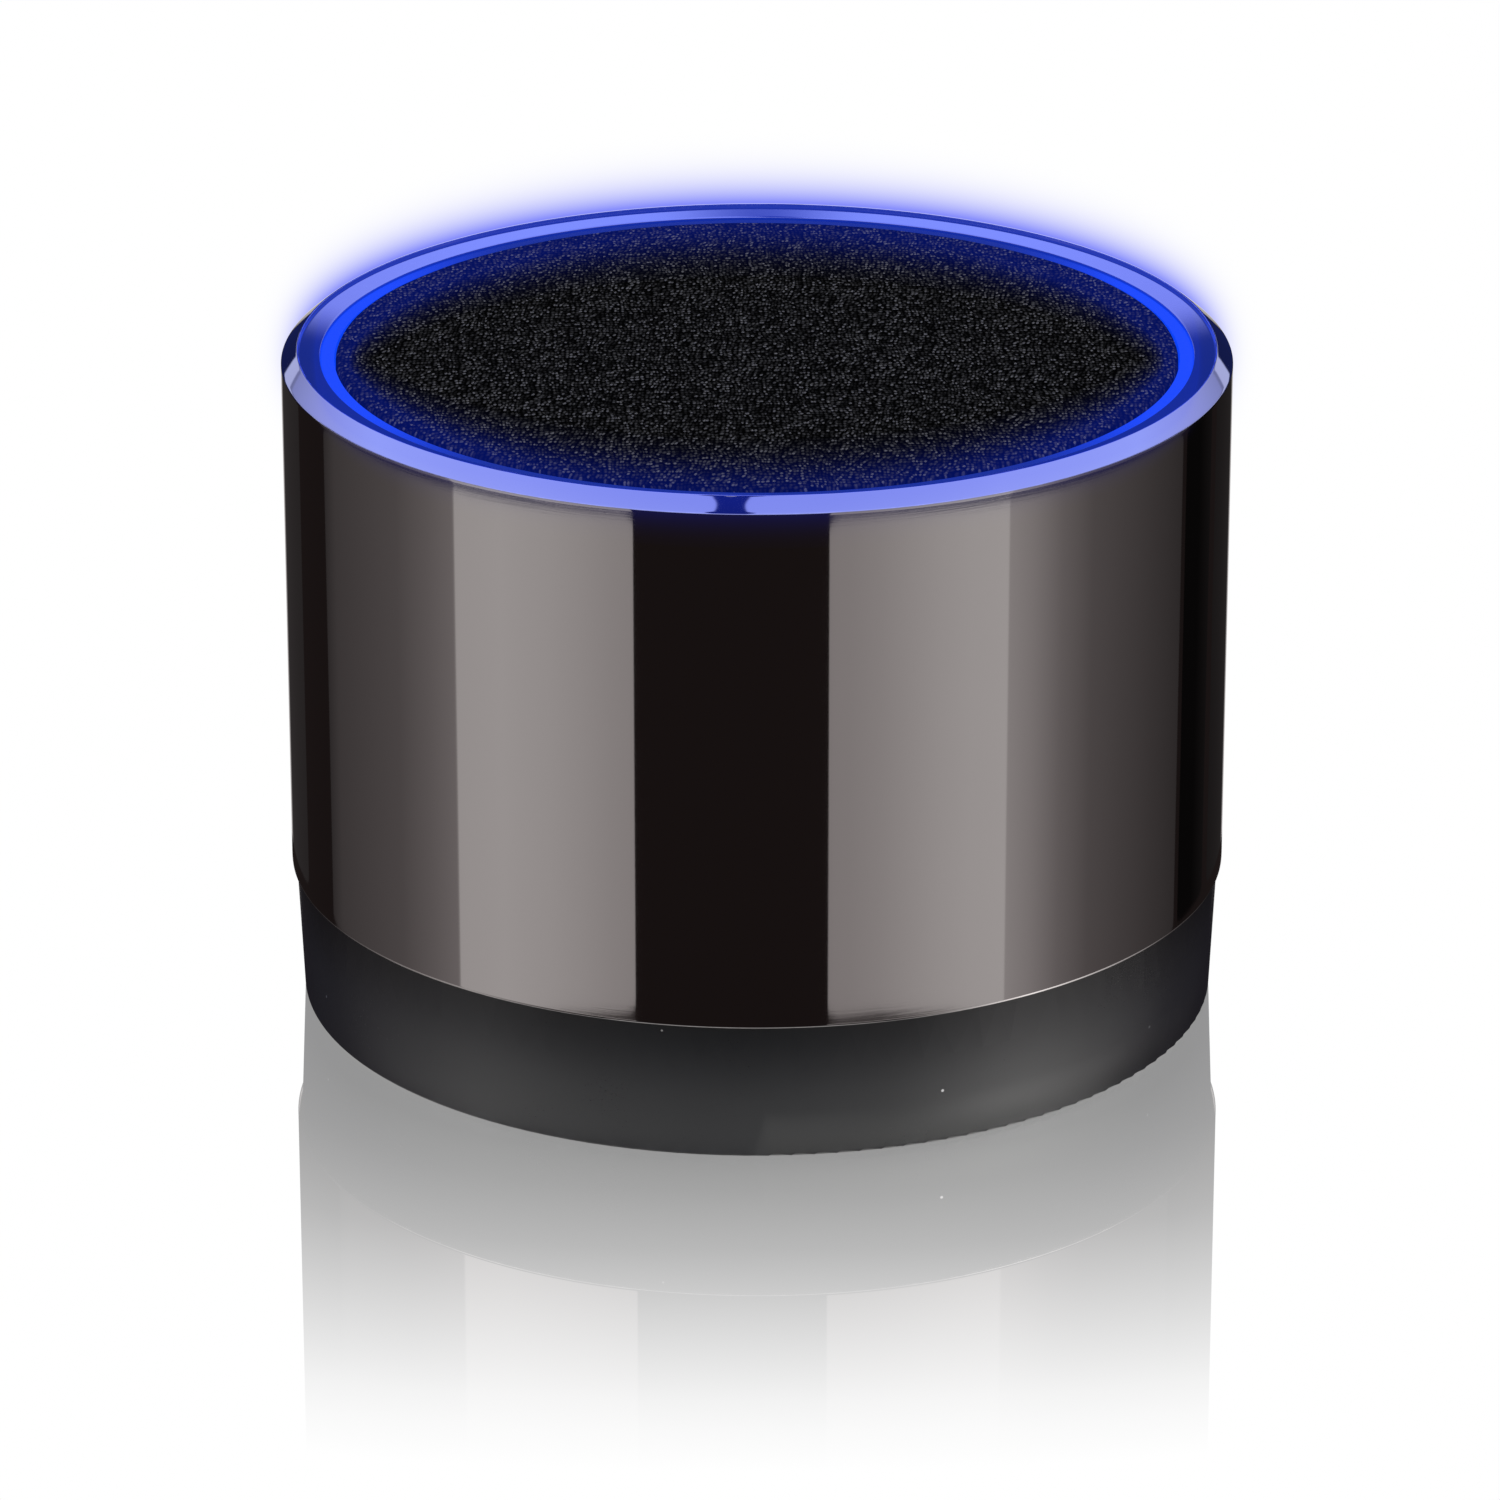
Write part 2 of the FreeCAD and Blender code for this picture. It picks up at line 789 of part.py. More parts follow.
def power_knob():
    """The part that a finger moves, ridged so that it doesn't slip."""
    x = -switch_travel / 2
    collar = block(x - 2.6, x + 2.6, 29.2, 29.65, key_level - 1.7, key_level + 1.7)
    grip = block(x - 1.35, x + 1.35, 29.65, 32.9, key_level - 0.85, key_level + 0.85)
    grip = grip.makeChamfer(0.12, [e for e in grip.Edges if e.BoundBox.YMin > 32.9 - 1e-6])
    knob = collar.fuse(grip).removeSplitter()
    for groove in (x - 0.7, x, x + 0.7):
        knob = knob.cut(block(groove - 0.12, groove + 0.12, 32.65, 33.0, key_level - 1, key_level + 1))
    return turned(knob, switch_angle)


# Battery and leads


def battery():
    cell_end = battery_length / 2 - 3
    half = battery_width / 2
    top = battery_bottom + battery_height
    cell = block(-battery_length / 2, cell_end, -half, half, battery_bottom, top)
    return cell.makeFillet(1.2, [e for e in cell.Edges if e.BoundBox.XLength > battery_length / 2])


def battery_protection():
    """Folded end strip with the cell's protection circuit."""
    half = battery_width / 2 - 2
    end = battery_length / 2
    return block(end - 3, end, -half, half, battery_bottom + 1.2, battery_bottom + 5.8)


def battery_tape():
    return block(-13, 11, -12, 12, floor_top, battery_bottom)


def pair_of(points, across):
    """Two wires side by side, moved apart along the given direction."""
    shift = V(*across) * (wire_pitch / 2)
    wires = []
    for side in (-1, 1):
        wires.append(wire([tuple(V(*p) + shift * side) for p in points]))
    return group(wires)


def battery_leads():
    x, y, _ = lead_sockets["battery"]
    level = battery_bottom + 3.5
    return pair_of([(battery_length / 2, y, level), (x, y, level), (x, y, board_top + 2.0)], (0, 1, 0))


def speaker_leads():
    x, y, _ = lead_sockets["speaker"]
    level = terminal_top - 1.9
    leads = []
    for side, tab in ((-1, -2.2), (1, 2.2)):
        end = x + side * wire_pitch / 2
        route = [(tab, -20.6, level + 0.8), (tab, -20.6, level - 4), (tab, -24.0, level - 8)]
        route += [(end, y, floor_top + 4), (end, y, board_top + 2.0)]
        leads.append(wire(route))
    return group(leads)


def led_leads():
    x, y, _ = lead_sockets["led"]
    across, along = led_lead_place
    points = [(across, along, rim_top), (across, along, 22), (x, y, 15), (x, y, board_top + 2.0)]
    return pair_of(points, (1, 0, 0))


casing = [shell, base_housing, bottom_cover, foot_ring, cover_screws, chassis]
top_end = [led_board, ring_leds, led_resistors, light_ring, bezel_ring, grille_plate, grille_cloth]
driver_frame = [driver_basket, driver_gasket, driver_screws, top_plate, magnet, yoke]
driver_cone_parts = [coil_former, voice_coil, driver_cone, dust_cap, cone_surround, spider]
board_parts = [main_board, board_screws, board_chips, board_capacitors, board_connectors, chip_antenna]
sound_parts = [microphone, microphone_boot, aux_jack, aux_contacts, terminal_strip, solder_tabs]
socket_parts = [charging_port_shell, charging_port_tongue]
switch_parts = [key_switches, power_switch_body, switch_lever, power_knob]
power_parts = [battery, battery_protection, battery_tape, battery_leads, speaker_leads, led_leads]


def build():
    makers = casing + top_end + driver_frame + driver_cone_parts + board_parts + sound_parts
    makers += socket_parts + switch_parts + power_parts
    nodes = {maker.__name__: maker() for maker in makers}
    marks = {"volume_down": "minus", "play": "play", "volume_up": "plus"}
    for name, angle in key_angles.items():
        nodes[name + "_key"] = turned(key_cap(marks[name]), angle)
        nodes[name + "_plunger"] = turned(key_plunger(), angle)
    return nodes


def main():
    os.makedirs("parts", exist_ok=True)
    for name, shape in build().items():
        shape.exportStep(os.path.join("parts", name + ".step"))


if __name__ == "__main__":
    main()
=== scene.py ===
import math
import bpy
import bmesh
from mathutils import Matrix, Vector, noise


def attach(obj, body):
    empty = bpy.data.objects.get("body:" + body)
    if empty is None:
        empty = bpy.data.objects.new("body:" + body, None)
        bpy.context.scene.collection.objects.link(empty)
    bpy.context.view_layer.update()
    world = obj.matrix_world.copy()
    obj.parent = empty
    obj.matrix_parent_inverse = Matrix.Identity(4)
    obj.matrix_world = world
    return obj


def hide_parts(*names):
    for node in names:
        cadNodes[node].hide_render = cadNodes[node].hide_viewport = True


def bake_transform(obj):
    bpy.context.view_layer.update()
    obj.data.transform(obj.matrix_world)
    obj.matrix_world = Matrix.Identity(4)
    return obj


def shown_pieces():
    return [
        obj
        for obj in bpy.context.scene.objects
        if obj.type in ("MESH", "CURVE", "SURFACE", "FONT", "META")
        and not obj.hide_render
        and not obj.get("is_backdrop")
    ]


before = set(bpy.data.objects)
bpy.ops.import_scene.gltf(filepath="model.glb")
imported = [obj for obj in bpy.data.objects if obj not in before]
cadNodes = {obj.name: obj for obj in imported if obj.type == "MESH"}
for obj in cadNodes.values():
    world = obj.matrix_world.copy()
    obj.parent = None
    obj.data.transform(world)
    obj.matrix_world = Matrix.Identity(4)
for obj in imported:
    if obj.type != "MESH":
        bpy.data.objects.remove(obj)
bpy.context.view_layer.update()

mm = 0.001
scene = bpy.context.scene
scene.view_settings.view_transform = "Standard"
print("frame loaded,", len(cadNodes), "nodes")


# Camera

cameraView = {"place": (0, -0.51284, 0.21856), "tilt": 68.55, "lens": 186.8, "shift": -0.00467}
camera = bpy.data.objects.new("camera", bpy.data.cameras.new("camera"))
camera.location = cameraView["place"]
camera.rotation_euler = (math.radians(cameraView["tilt"]), 0, 0)
camera.data.lens = cameraView["lens"]
camera.data.sensor_width = 36
camera.data.shift_x = cameraView["shift"]
camera.data.clip_start, camera.data.clip_end = 0.01, 20
scene.collection.objects.link(camera)
scene.camera = camera


# Node graphs

class Wire:
    # one output socket, so that sums on values read as sums
    def __init__(self, graph, made, out):
        self.graph, self.made = graph, made
        self.socket = made.outputs[out] if made.outputs else None

    def also(self, out):
        return Wire(self.graph, self.made, out)

    def __add__(self, other):
        return self.graph.sum("ADD", self, other)

    def __radd__(self, other):
        return self.graph.sum("ADD", other, self)

    def __sub__(self, other):
        return self.graph.sum("SUBTRACT", self, other)

    def __rsub__(self, other):
        return self.graph.sum("SUBTRACT", other, self)

    def __mul__(self, other):
        return self.graph.sum("MULTIPLY", self, other)

    def __rmul__(self, other):
        return self.graph.sum("MULTIPLY", other, self)

    def __truediv__(self, other):
        return self.graph.sum("DIVIDE", self, other)

    def __rtruediv__(self, other):
        return self.graph.sum("DIVIDE", other, self)

    def __pow__(self, other):
        return self.graph.sum("POWER", self, other)

    def __rpow__(self, other):
        return self.graph.sum("POWER", other, self)

    def __lt__(self, other):
        return self.graph.sum("LESS_THAN", self, other)

    def __gt__(self, other):
        return self.graph.sum("GREATER_THAN", self, other)

    def __abs__(self):
        return self.graph.sum("ABSOLUTE", self)


class Graph:
    family = "Shader"

    def __init__(self, tree):
        self.tree = tree
        tree.nodes.clear()

    def node(self, kind, settings=None, sockets=None, out=0):
        made = self.tree.nodes.new(self.family + "Node" + kind)
        for key, value in (settings or {}).items():
            if key == "stops":
                self.setStops(made.color_ramp, value)
            else:
                setattr(made, key, value)
        for key, value in (sockets or {}).items():
            if isinstance(value, Wire):
                self.tree.links.new(value.socket, made.inputs[key])
            elif made.inputs[key].type == "RGBA" and len(value) == 3:
                made.inputs[key].default_value = (*value, 1)
            else:
                made.inputs[key].default_value = value
        return Wire(self, made, out)

    def setStops(self, ramp, stops):
        while len(ramp.elements) > 1:
            ramp.elements.remove(ramp.elements[-1])
        for i, (position, colour) in enumerate(stops):
            stop = ramp.elements[0] if i == 0 else ramp.elements.new(position)
            stop.position = position
            stop.color = (*colour, 1) if hasattr(colour, "__len__") else (colour, colour, colour, 1)

    def sum(self, operation, *values):
        return self.node("Math", {"operation": operation}, dict(enumerate(values)))

    def top(self, *values):
        return self.sum("MAXIMUM", *values)

    def low(self, *values):
        return self.sum("MINIMUM", *values)

    def step(self, value, start, end, first=0, last=1):
        # an eased step from first to last as value goes from start to end
        return self.node("MapRange", {"interpolation_type": "SMOOTHSTEP"},
                         {0: value, 1: start, 2: end, 3: first, 4: last})

    def mix(self, factor, first, second):
        return self.node("Mix", {"data_type": "RGBA"}, {0: factor, 6: first, 7: second}, out=2)

    def ramp(self, factor, *stops):
        return self.node("ValToRGB", {"stops": stops}, {0: factor})

    def parts(self, vector):
        split = self.node("SeparateXYZ", None, {0: vector})
        return split, split.also(1), split.also(2)

    def joined(self, x, y, z):
        return self.node("CombineXYZ", None, {0: x, 1: y, 2: z})

    def place(self, stretch=(1, 1, 1), turn=0):
        # the piece's own coordinates in millimetres
        spot = self.node("TexCoord", None, None, "Object")
        scale = [1000 * part for part in stretch]
        return self.node("Mapping", None, {"Vector": spot, "Rotation": (0, 0, math.radians(turn)), "Scale": scale})

    def cloud(self, spot, size, detail=2, rough=0.5):
        return self.node("TexNoise", None,
                         {"Vector": spot, "Scale": 1 / size, "Detail": detail, "Roughness": rough})

    def cells(self, spot, size, feature="F1", flat=False, loose=1.0):
        return self.node("TexVoronoi", {"feature": feature, "voronoi_dimensions": "2D" if flat else "3D"},
                         {"Vector": spot, "Scale": 1 / size, "Randomness": loose})

    def bump(self, height, depth, under=None):
        sockets = {"Height": height, "Distance": depth * mm, "Strength": 1.0}
        if under:
            sockets["Normal"] = under
        return self.node("Bump", None, sockets)


class Finish(Graph):
    def __init__(self, name):
        self.material = bpy.data.materials.new(name)
        self.material.use_nodes = True
        super().__init__(self.material.node_tree)

    def surface(self, **sockets):
        shader = self.node("BsdfPrincipled", None, {key.replace("_", " "): v for key, v in sockets.items()})
        self.node("OutputMaterial", None, {0: shader})
        return self.material


# Finishes

def moulded(name, colour, rough=0.5, grain=0.18, depth=0.006, uneven=0.18, specks=0):
    # spark-textured moulded plastic, with a little dust when specks is set
    f = Finish(name)
    spot = f.place()
    fine, wide = f.cloud(spot, grain, 3, 0.6), f.cloud(spot, 11, 2)
    tone = f.step(wide * 0.6 + fine * 0.4, 0.3, 0.7)
    skin = f.mix(tone, [c * (1 - uneven) for c in colour], [c * (1 + uneven) for c in colour])
    if specks:
        dust = f.cells(spot, 2.6) < 0.055 * specks
        skin = f.mix(dust * f.step(wide, 0.45, 0.6), skin, [0.25 + c for c in colour])
    return f.surface(Base_Color=skin, Roughness=rough + (fine - 0.5) * 0.16 + (wide - 0.5) * 0.12,
                     Normal=f.bump(fine, depth))


def metal(name, colour, rough=0.32, stretch=(1, 1, 1), depth=0.003, dull=0.25, size=0.5):
    # rolled or turned metal: a directional grain, dull patches and fine scratches
    f = Finish(name)
    grain = f.cloud(f.place(stretch), size, 4, 0.65)
    patch = f.step(f.cloud(f.place(), 3.5, 3), 0.42, 0.66)
    scratch = f.step(f.cells(f.place((0.35, 3, 1), 35), 1.1, "DISTANCE_TO_EDGE"), 0.0, 0.03, 1, 0)
    skin = f.mix(patch * 0.6, colour, [c * (1 - dull) for c in colour])
    return f.surface(Base_Color=skin, Metallic=1.0 - patch * 0.08,
                     Roughness=rough + patch * 0.14 + (grain - 0.5) * 0.15 + scratch * 0.06,
                     Normal=f.bump(grain + scratch * 0.4, depth))


def rubber(name, colour, rough=0.72, ridges=0.0):
    # soft rubber with a bloom of dust; ridges is the pitch of moulded rings
    f = Finish(name)
    spot = f.place()
    x, y, z = f.parts(spot)
    fine, bloom = f.cloud(spot, 0.22, 3, 0.7), f.step(f.cloud(spot, 5, 3), 0.4, 0.7)
    skin = f.mix(bloom * 0.5 + fine * 0.3, colour, [0.02 + c * 1.7 for c in colour])
    height = fine * 0.3
    if ridges:
        across = f.sum("SQRT", x * x + y * y)
        height = height + f.sum("SINE", across * (2 * math.pi / ridges)) * 0.5
    return f.surface(Base_Color=skin, Roughness=rough + (fine - 0.5) * 0.14, Normal=f.bump(height, 0.03))


def board(name, mask, copper, pitch, turn=0):
    # solder mask over copper runs, with tinned pads
    f = Finish(name)
    spot = f.place((1, 1, 1), turn)
    runs = f.cells(f.place((1, 0.45, 1), turn), pitch, "DISTANCE_TO_EDGE")
    run = f.step(runs, 0.03, 0.05, 1, 0)
    pads = f.cells(spot, pitch * 1.3)
    pad = f.step(pads, 0.10, 0.13, 1, 0)
    fine = f.cloud(spot, 0.3, 2)
    skin = f.mix(run, mask, [c * 1.8 for c in mask])
    skin = f.mix(pad, f.mix(fine * 0.3, skin, [c * 0.5 for c in mask]), copper)
    return f.surface(Base_Color=skin, Metallic=pad * 0.9, Roughness=0.34 + fine * 0.12 - pad * 0.06,
                     Normal=f.bump(run * 0.5 + pad, 0.03))


def fibre(name, colour, size=0.5, rough=0.9, depth=0.03, weave=0.0):
    # pressed paper, felt or a coated weave; weave is the thread pitch
    f = Finish(name)
    spot = f.place()
    x, y, z = f.parts(spot)
    strands = f.cloud(f.place((0.4, 2.2, 1), 25), size, 4, 0.7)
    cross = f.cloud(f.place((2.2, 0.4, 1), -30), size, 4, 0.7)
    height = f.top(strands, cross)
    if weave:
        turns = 2 * math.pi / weave
        threads = f.sum("SINE", x * turns) * f.sum("SINE", y * turns)
        height = height * 0.4 + threads * 0.3 + 0.3
    skin = f.mix(height, [c * 0.55 for c in colour], [min(1, c * 1.35) for c in colour])
    return f.surface(Base_Color=skin, Roughness=rough - height * 0.12, Normal=f.bump(height, depth))


def foam(name, colour, size=0.35):
    # open-cell foam
    f = Finish(name)
    spot = f.place()
    wall = f.cells(spot, size, "DISTANCE_TO_EDGE")
    pore = f.step(wall, 0.04, 0.3)
    tone = f.cloud(spot, 4)
    skin = f.mix(pore, [c * 1.6 for c in colour], [c * 0.45 for c in colour])
    return f.surface(Base_Color=skin, Roughness=0.9 - tone * 0.08, Normal=f.bump(1 - pore, 0.08))


def mineral(name, colour, rough=0.6, size=0.25, fleck=0.2):
    # pressed ceramic or ferrite powder
    f = Finish(name)
    spot = f.place()
    grit, chip = f.cloud(spot, size, 4, 0.75), f.step(f.cells(spot, 1.9), 0.04, 0.16, 1, 0)
    skin = f.mix(grit, [c * (1 - fleck) for c in colour], [min(1, c * (1 + fleck) + 0.01) for c in colour])
    return f.surface(Base_Color=skin, Roughness=rough + (grit - 0.5) * 0.2, Normal=f.bump(grit - chip, 0.012))


def leads(name, stops, size=0.8):
    # insulated wires that lie side by side, told apart by where they lie: axis, place, colours
    f = Finish(name)
    spot = f.place()
    x, y, z = f.parts(spot)
    axis, middle, first, second = stops
    side = f.step({"x": x, "y": y}[axis], middle - 0.02, middle + 0.02)
    gloss = f.cloud(spot, size, 3)
    skin = f.mix(side, first, second)
    skin = f.mix(gloss * 0.35, skin, (0.01, 0.01, 0.01))
    return f.surface(Base_Color=skin, Roughness=0.38 + gloss * 0.16, Normal=f.bump(gloss, 0.02))


def film(name, colour, rough, metallic=0.0, crease=1.6, coat=0.0):
    # thin film or foil drawn tight, with shallow creases
    f = Finish(name)
    spot = f.place((1, 0.6, 1), 20)
    fold, ripple = f.cells(spot, crease * 2.4, "DISTANCE_TO_EDGE"), f.cloud(spot, crease, 3)
    line = f.step(fold, 0.0, 0.08, 1, 0)
    skin = f.mix(ripple * 0.5, colour, [c * 0.62 for c in colour])
    return f.surface(Base_Color=skin, Metallic=metallic, Roughness=rough + ripple * 0.12, Coat_Weight=coat,
                     Normal=f.bump(ripple + line * 0.3, 0.05))


def wound(name, colour, pitch):
    # enamelled wire wound round the axis
    f = Finish(name)
    spot = f.place()
    x, y, z = f.parts(spot)
    turn = abs(f.sum("SINE", z * (math.pi / pitch)))
    tone = f.cloud(spot, 0.8, 3)
    skin = f.mix(turn, [c * 0.3 for c in colour], colour)
    skin = f.mix(tone * 0.4, skin, [c * 0.7 for c in colour])
    return f.surface(Base_Color=skin, Metallic=0.9, Roughness=0.28 + tone * 0.15, Normal=f.bump(turn, 0.06))


ledLook = {"count": 12, "circle": 29.3, "lens": (0.62, 0.7)}


def ledPackage(name):
    # white moulded frame with a yellow lens over the die
    f = Finish(name)
    spot = f.place()
    x, y, z = f.parts(spot)
    across = f.sum("SQRT", x * x + y * y)
    count, circle = ledLook["count"], ledLook["circle"]
    turn = f.sum("ARCTAN2", y, x) * (count / (2 * math.pi))
    along = abs(f.sum("FRACT", turn + 0.5) - 0.5) * (2 * math.pi * circle / count)
    off = f.sum("SQRT", along * along + (across - circle) * (across - circle))
    lens = f.step(off, *ledLook["lens"], 1, 0)
    tone = f.cloud(spot, 0.4, 3)
    skin = f.mix(lens, f.mix(tone * 0.3, (0.82, 0.82, 0.8), (0.6, 0.6, 0.58)), (0.85, 0.62, 0.08))
    return f.surface(Base_Color=skin, Roughness=0.5 - lens * 0.32 + tone * 0.05,
                     Normal=f.bump(tone - lens * 0.5, 0.02))


blackPlastic = (0.022, 0.021, 0.021)
finishes = {
    "cover_plastic": moulded("coverPlastic", blackPlastic, 0.55, 0.3, 0.012, 0.2, 1),
    "foot_rubber": rubber("footRubber", (0.018, 0.018, 0.019), 0.78, 0.9),
    "screw_black": metal("screwBlack", (0.05, 0.05, 0.052), 0.35),
    "chassis_plastic": moulded("chassisPlastic", (0.03, 0.03, 0.032), 0.5, 0.35, 0.01),
    "led_board": board("ledBoard", (0.75, 0.76, 0.72), (0.8, 0.78, 0.7), 2.1),
    "led_package": ledPackage("ledPackage"),
    "ceramic_chip": mineral("ceramicChip", (0.03, 0.03, 0.034), 0.4, 0.2),
    "grille_steel": metal("grilleSteel", (0.035, 0.035, 0.036), 0.5, depth=0.006),
    "basket_steel": metal("basketSteel", (0.09, 0.09, 0.095), 0.42, depth=0.006, size=0.9),
    "gasket_foam": foam("gasketFoam", (0.03, 0.03, 0.03), 0.4),
    "screw_zinc": metal("screwZinc", (0.6, 0.6, 0.58), 0.25),
    "zinc_plate": metal("zincPlate", (0.56, 0.55, 0.5), 0.3, (1, 1, 3)),
    "ferrite": mineral("ferrite", (0.035, 0.034, 0.036), 0.55),
    "former_film": film("formerFilm", (0.42, 0.17, 0.03), 0.25, crease=0.9, coat=0.5),
    "coil_copper": wound("coilCopper", (0.72, 0.3, 0.12), 0.22),
    "cone_paper": fibre("conePaper", (0.035, 0.034, 0.033), 0.7, 0.88, 0.05),
    "dust_cap": fibre("dustCapFelt", (0.028, 0.027, 0.027), 0.5, 0.8, 0.03),
    "surround_rubber": rubber("surroundRubber", (0.02, 0.02, 0.021), 0.5),
    "spider_cloth": fibre("spiderCloth", (0.5, 0.3, 0.09), 0.4, 0.85, 0.05, 0.5),
    "phenolic": fibre("phenolic", (0.24, 0.12, 0.05), 0.5, 0.55, 0.02),
    "tinned_tabs": metal("tinnedTabs", (0.68, 0.68, 0.66), 0.28),
    "main_board": board("mainBoard", (0.01, 0.075, 0.032), (0.78, 0.6, 0.3), 3.2, 15),
    "chip_mould": moulded("chipMould", (0.018, 0.018, 0.019), 0.42, 0.12, 0.004, 0.25, 1),
    "capacitor_can": metal("capacitorCan", (0.62, 0.62, 0.62), 0.24, (1, 1, 0.2)),
    "connector_nylon": moulded("connectorNylon", (0.72, 0.7, 0.62), 0.5, 0.4, 0.01, 0.08),
    "antenna_ceramic": mineral("antennaCeramic", (0.5, 0.46, 0.34), 0.45),
    "mic_can": metal("micCan", (0.64, 0.62, 0.56), 0.3),
    "boot_rubber": rubber("bootRubber", (0.02, 0.02, 0.02), 0.7),
    "port_steel": metal("portSteel", (0.6, 0.6, 0.6), 0.24, (0.3, 2, 1)),
    "port_tongue": moulded("portTongue", (0.03, 0.03, 0.03), 0.4, 0.2, 0.004),
    "jack_plastic": moulded("jackPlastic", (0.016, 0.016, 0.016), 0.38, 0.3, 0.005),
    "contact_gold": metal("contactGold", (0.85, 0.6, 0.22), 0.22),
    "switch_mould": moulded("switchMould", (0.025, 0.025, 0.026), 0.45, 0.2, 0.006),
    "switch_steel": metal("switchSteel", (0.58, 0.58, 0.57), 0.28, (2, 0.3, 1)),
    "lever_plastic": moulded("leverPlastic", (0.02, 0.02, 0.02), 0.42, 0.2, 0.006),
    "knob_plastic": moulded("knobPlastic", (0.03, 0.03, 0.031), 0.4, 0.16, 0.008, 0.15),
    "battery_pouch": film("batteryPouch", (0.55, 0.56, 0.58), 0.3, 0.85, 2.2),
    "protection_tape": film("protectionTape", (0.5, 0.24, 0.02), 0.22, crease=1.2, coat=0.6),
    "foam_tape": foam("foamTape", (0.1, 0.1, 0.1), 0.3),
    "lead_red_black": leads("batteryLeads", ("y", 5.0, (0.02, 0.02, 0.02), (0.45, 0.015, 0.01))),
    "lead_speaker": leads("speakerLeads", ("x", -3.2, (0.02, 0.02, 0.02), (0.5, 0.5, 0.48))),
    "lead_led": leads("ledLeads", ("x", 5.6, (0.02, 0.06, 0.35), (0.5, 0.48, 0.45))),
    "key_plastic": moulded("keyPlastic", (0.032, 0.031, 0.031), 0.42, 0.14, 0.006, 0.15),
    "plunger_plastic": moulded("plungerPlastic", (0.5, 0.5, 0.47), 0.45, 0.3, 0.006, 0.08),
}
for node in cadNodes.values():
    for slot in node.material_slots:
        if slot.material.name in finishes:
            slot.material = finishes[slot.material.name]
print("finishes made:", len(finishes))


# The shell, bezel, base, ring and cloth have finishes of their own

shellLook = {"tone": (0.505, 0.485, 0.480), "edge": (0.78, 0.76, 0.75), "rough": 0.027,
             "paintedRingLight": (0.014, 0.028, 0.26)}


def polishedShell():
    # dark plated mirror: faint polishing haze, fine hairlines round the body, brighter on the worn edges
    f = Finish("shellChrome")
    spot = f.place()
    x, y, z = f.parts(spot)
    haze = f.cloud(spot, 14, 3)
    hair = f.cloud(f.place((0.5, 0.5, 30)), 3.0, 3, 0.6)
    rub = f.cloud(spot, 1.4, 4, 0.7)
    edge = f.top(f.step(z, 10.02, 9.93), f.step(abs(z - 46.6), 0.05, 0.0)) * f.step(rub, 0.35, 0.7)
    skin = f.mix(edge * 0.5, shellLook["tone"], shellLook["edge"])
    skin = f.mix(f.step(haze, 0.3, 0.8) * 0.05, skin, (0.40, 0.385, 0.38))
    # painted light: a blue emission on the inside of the lip stands in for the ring's light falling there
    inside = f.step(f.sum("SQRT", x * x + y * y), 31.89, 31.86) * f.step(z, 46.2, 47.0)
    paintedRingLight = f.mix(inside * (0.9 + haze * 0.2), (0, 0, 0), shellLook["paintedRingLight"])
    return f.surface(Base_Color=skin, Metallic=1.0 - edge * 0.02,
                     Roughness=shellLook["rough"] + haze * 0.006 + hair * 0.006,
                     Emission_Color=paintedRingLight, Emission_Strength=1.0,
                     Normal=f.bump(hair * 0.5 + haze, 0.0003))


bezelLook = {"tone": (0.34, 0.345, 0.40), "rough": 0.06, "paintedRingLight": (0.004, 0.016, 0.2)}


def bezelGloss():
    f = Finish("bezelGloss")
    spot = f.place()
    haze, rub = f.cloud(spot, 9, 3), f.cloud(spot, 0.7, 4, 0.7)
    skin = f.mix(f.step(rub, 0.5, 0.8) * 0.12, bezelLook["tone"], (0.5, 0.5, 0.54))
    # painted light: a faint blue emission over the bezel stands in for the ring's light on it
    paintedRingLight = f.mix(haze, [c * 0.9 for c in bezelLook["paintedRingLight"]], [c * 1.1 for c in bezelLook["paintedRingLight"]])
    return f.surface(Base_Color=skin, Metallic=0.97 + haze * 0.03, Roughness=bezelLook["rough"] + haze * 0.02,
                     Emission_Color=paintedRingLight, Emission_Strength=1.0, Normal=f.bump(haze, 0.0006))


baseLook = {"tone": (0.012, 0.012, 0.0112), "rough": 0.3, "crease": 9}


def mattBase():
    # fine spark texture, a few specks of dust, rubbed edges and painted shade darkening the top under the shell
    f = Finish("basePlastic")
    spot = f.place()
    x, y, z = f.parts(spot)
    fine, wide = f.cloud(spot, 0.16, 3, 0.65), f.cloud(spot, 8, 3)
    dust = (f.cells(spot, 3.4) < 0.03) * f.step(wide, 0.42, 0.55)
    rubbed = f.top(f.step(z, 1.0, 0.45), f.step(z, 9.7, 9.9)) * f.step(f.cloud(spot, 1.2, 4, 0.7), 0.4, 0.7)
    tone = [c * 0.8 for c in baseLook["tone"]]
    skin = f.mix(fine * 0.6 + wide * 0.4, tone, [c * 1.25 for c in baseLook["tone"]])
    # painted shade: the colour darkens towards the top, under the shell's overhang
    skin = f.mix(f.step(z, 4.0, 9.8) * 0.75, skin, (0.001, 0.001, 0.001))
    skin = f.mix(rubbed * 0.25, skin, (0.03, 0.03, 0.03))
    skin = f.mix(dust, skin, (0.2, 0.195, 0.19))
    return f.surface(Base_Color=skin, Roughness=baseLook["rough"] + (fine - 0.5) * 0.1 + (wide - 0.5) * 0.08,
                     Specular_IOR_Level=0.4, Normal=f.bump(fine, 0.003))


ringLook = {"bright": (0.0035, 0.058, 0.93), "dim": (0.0020, 0.016, 0.2), "frost": (0.72, 0.74, 0.78)}


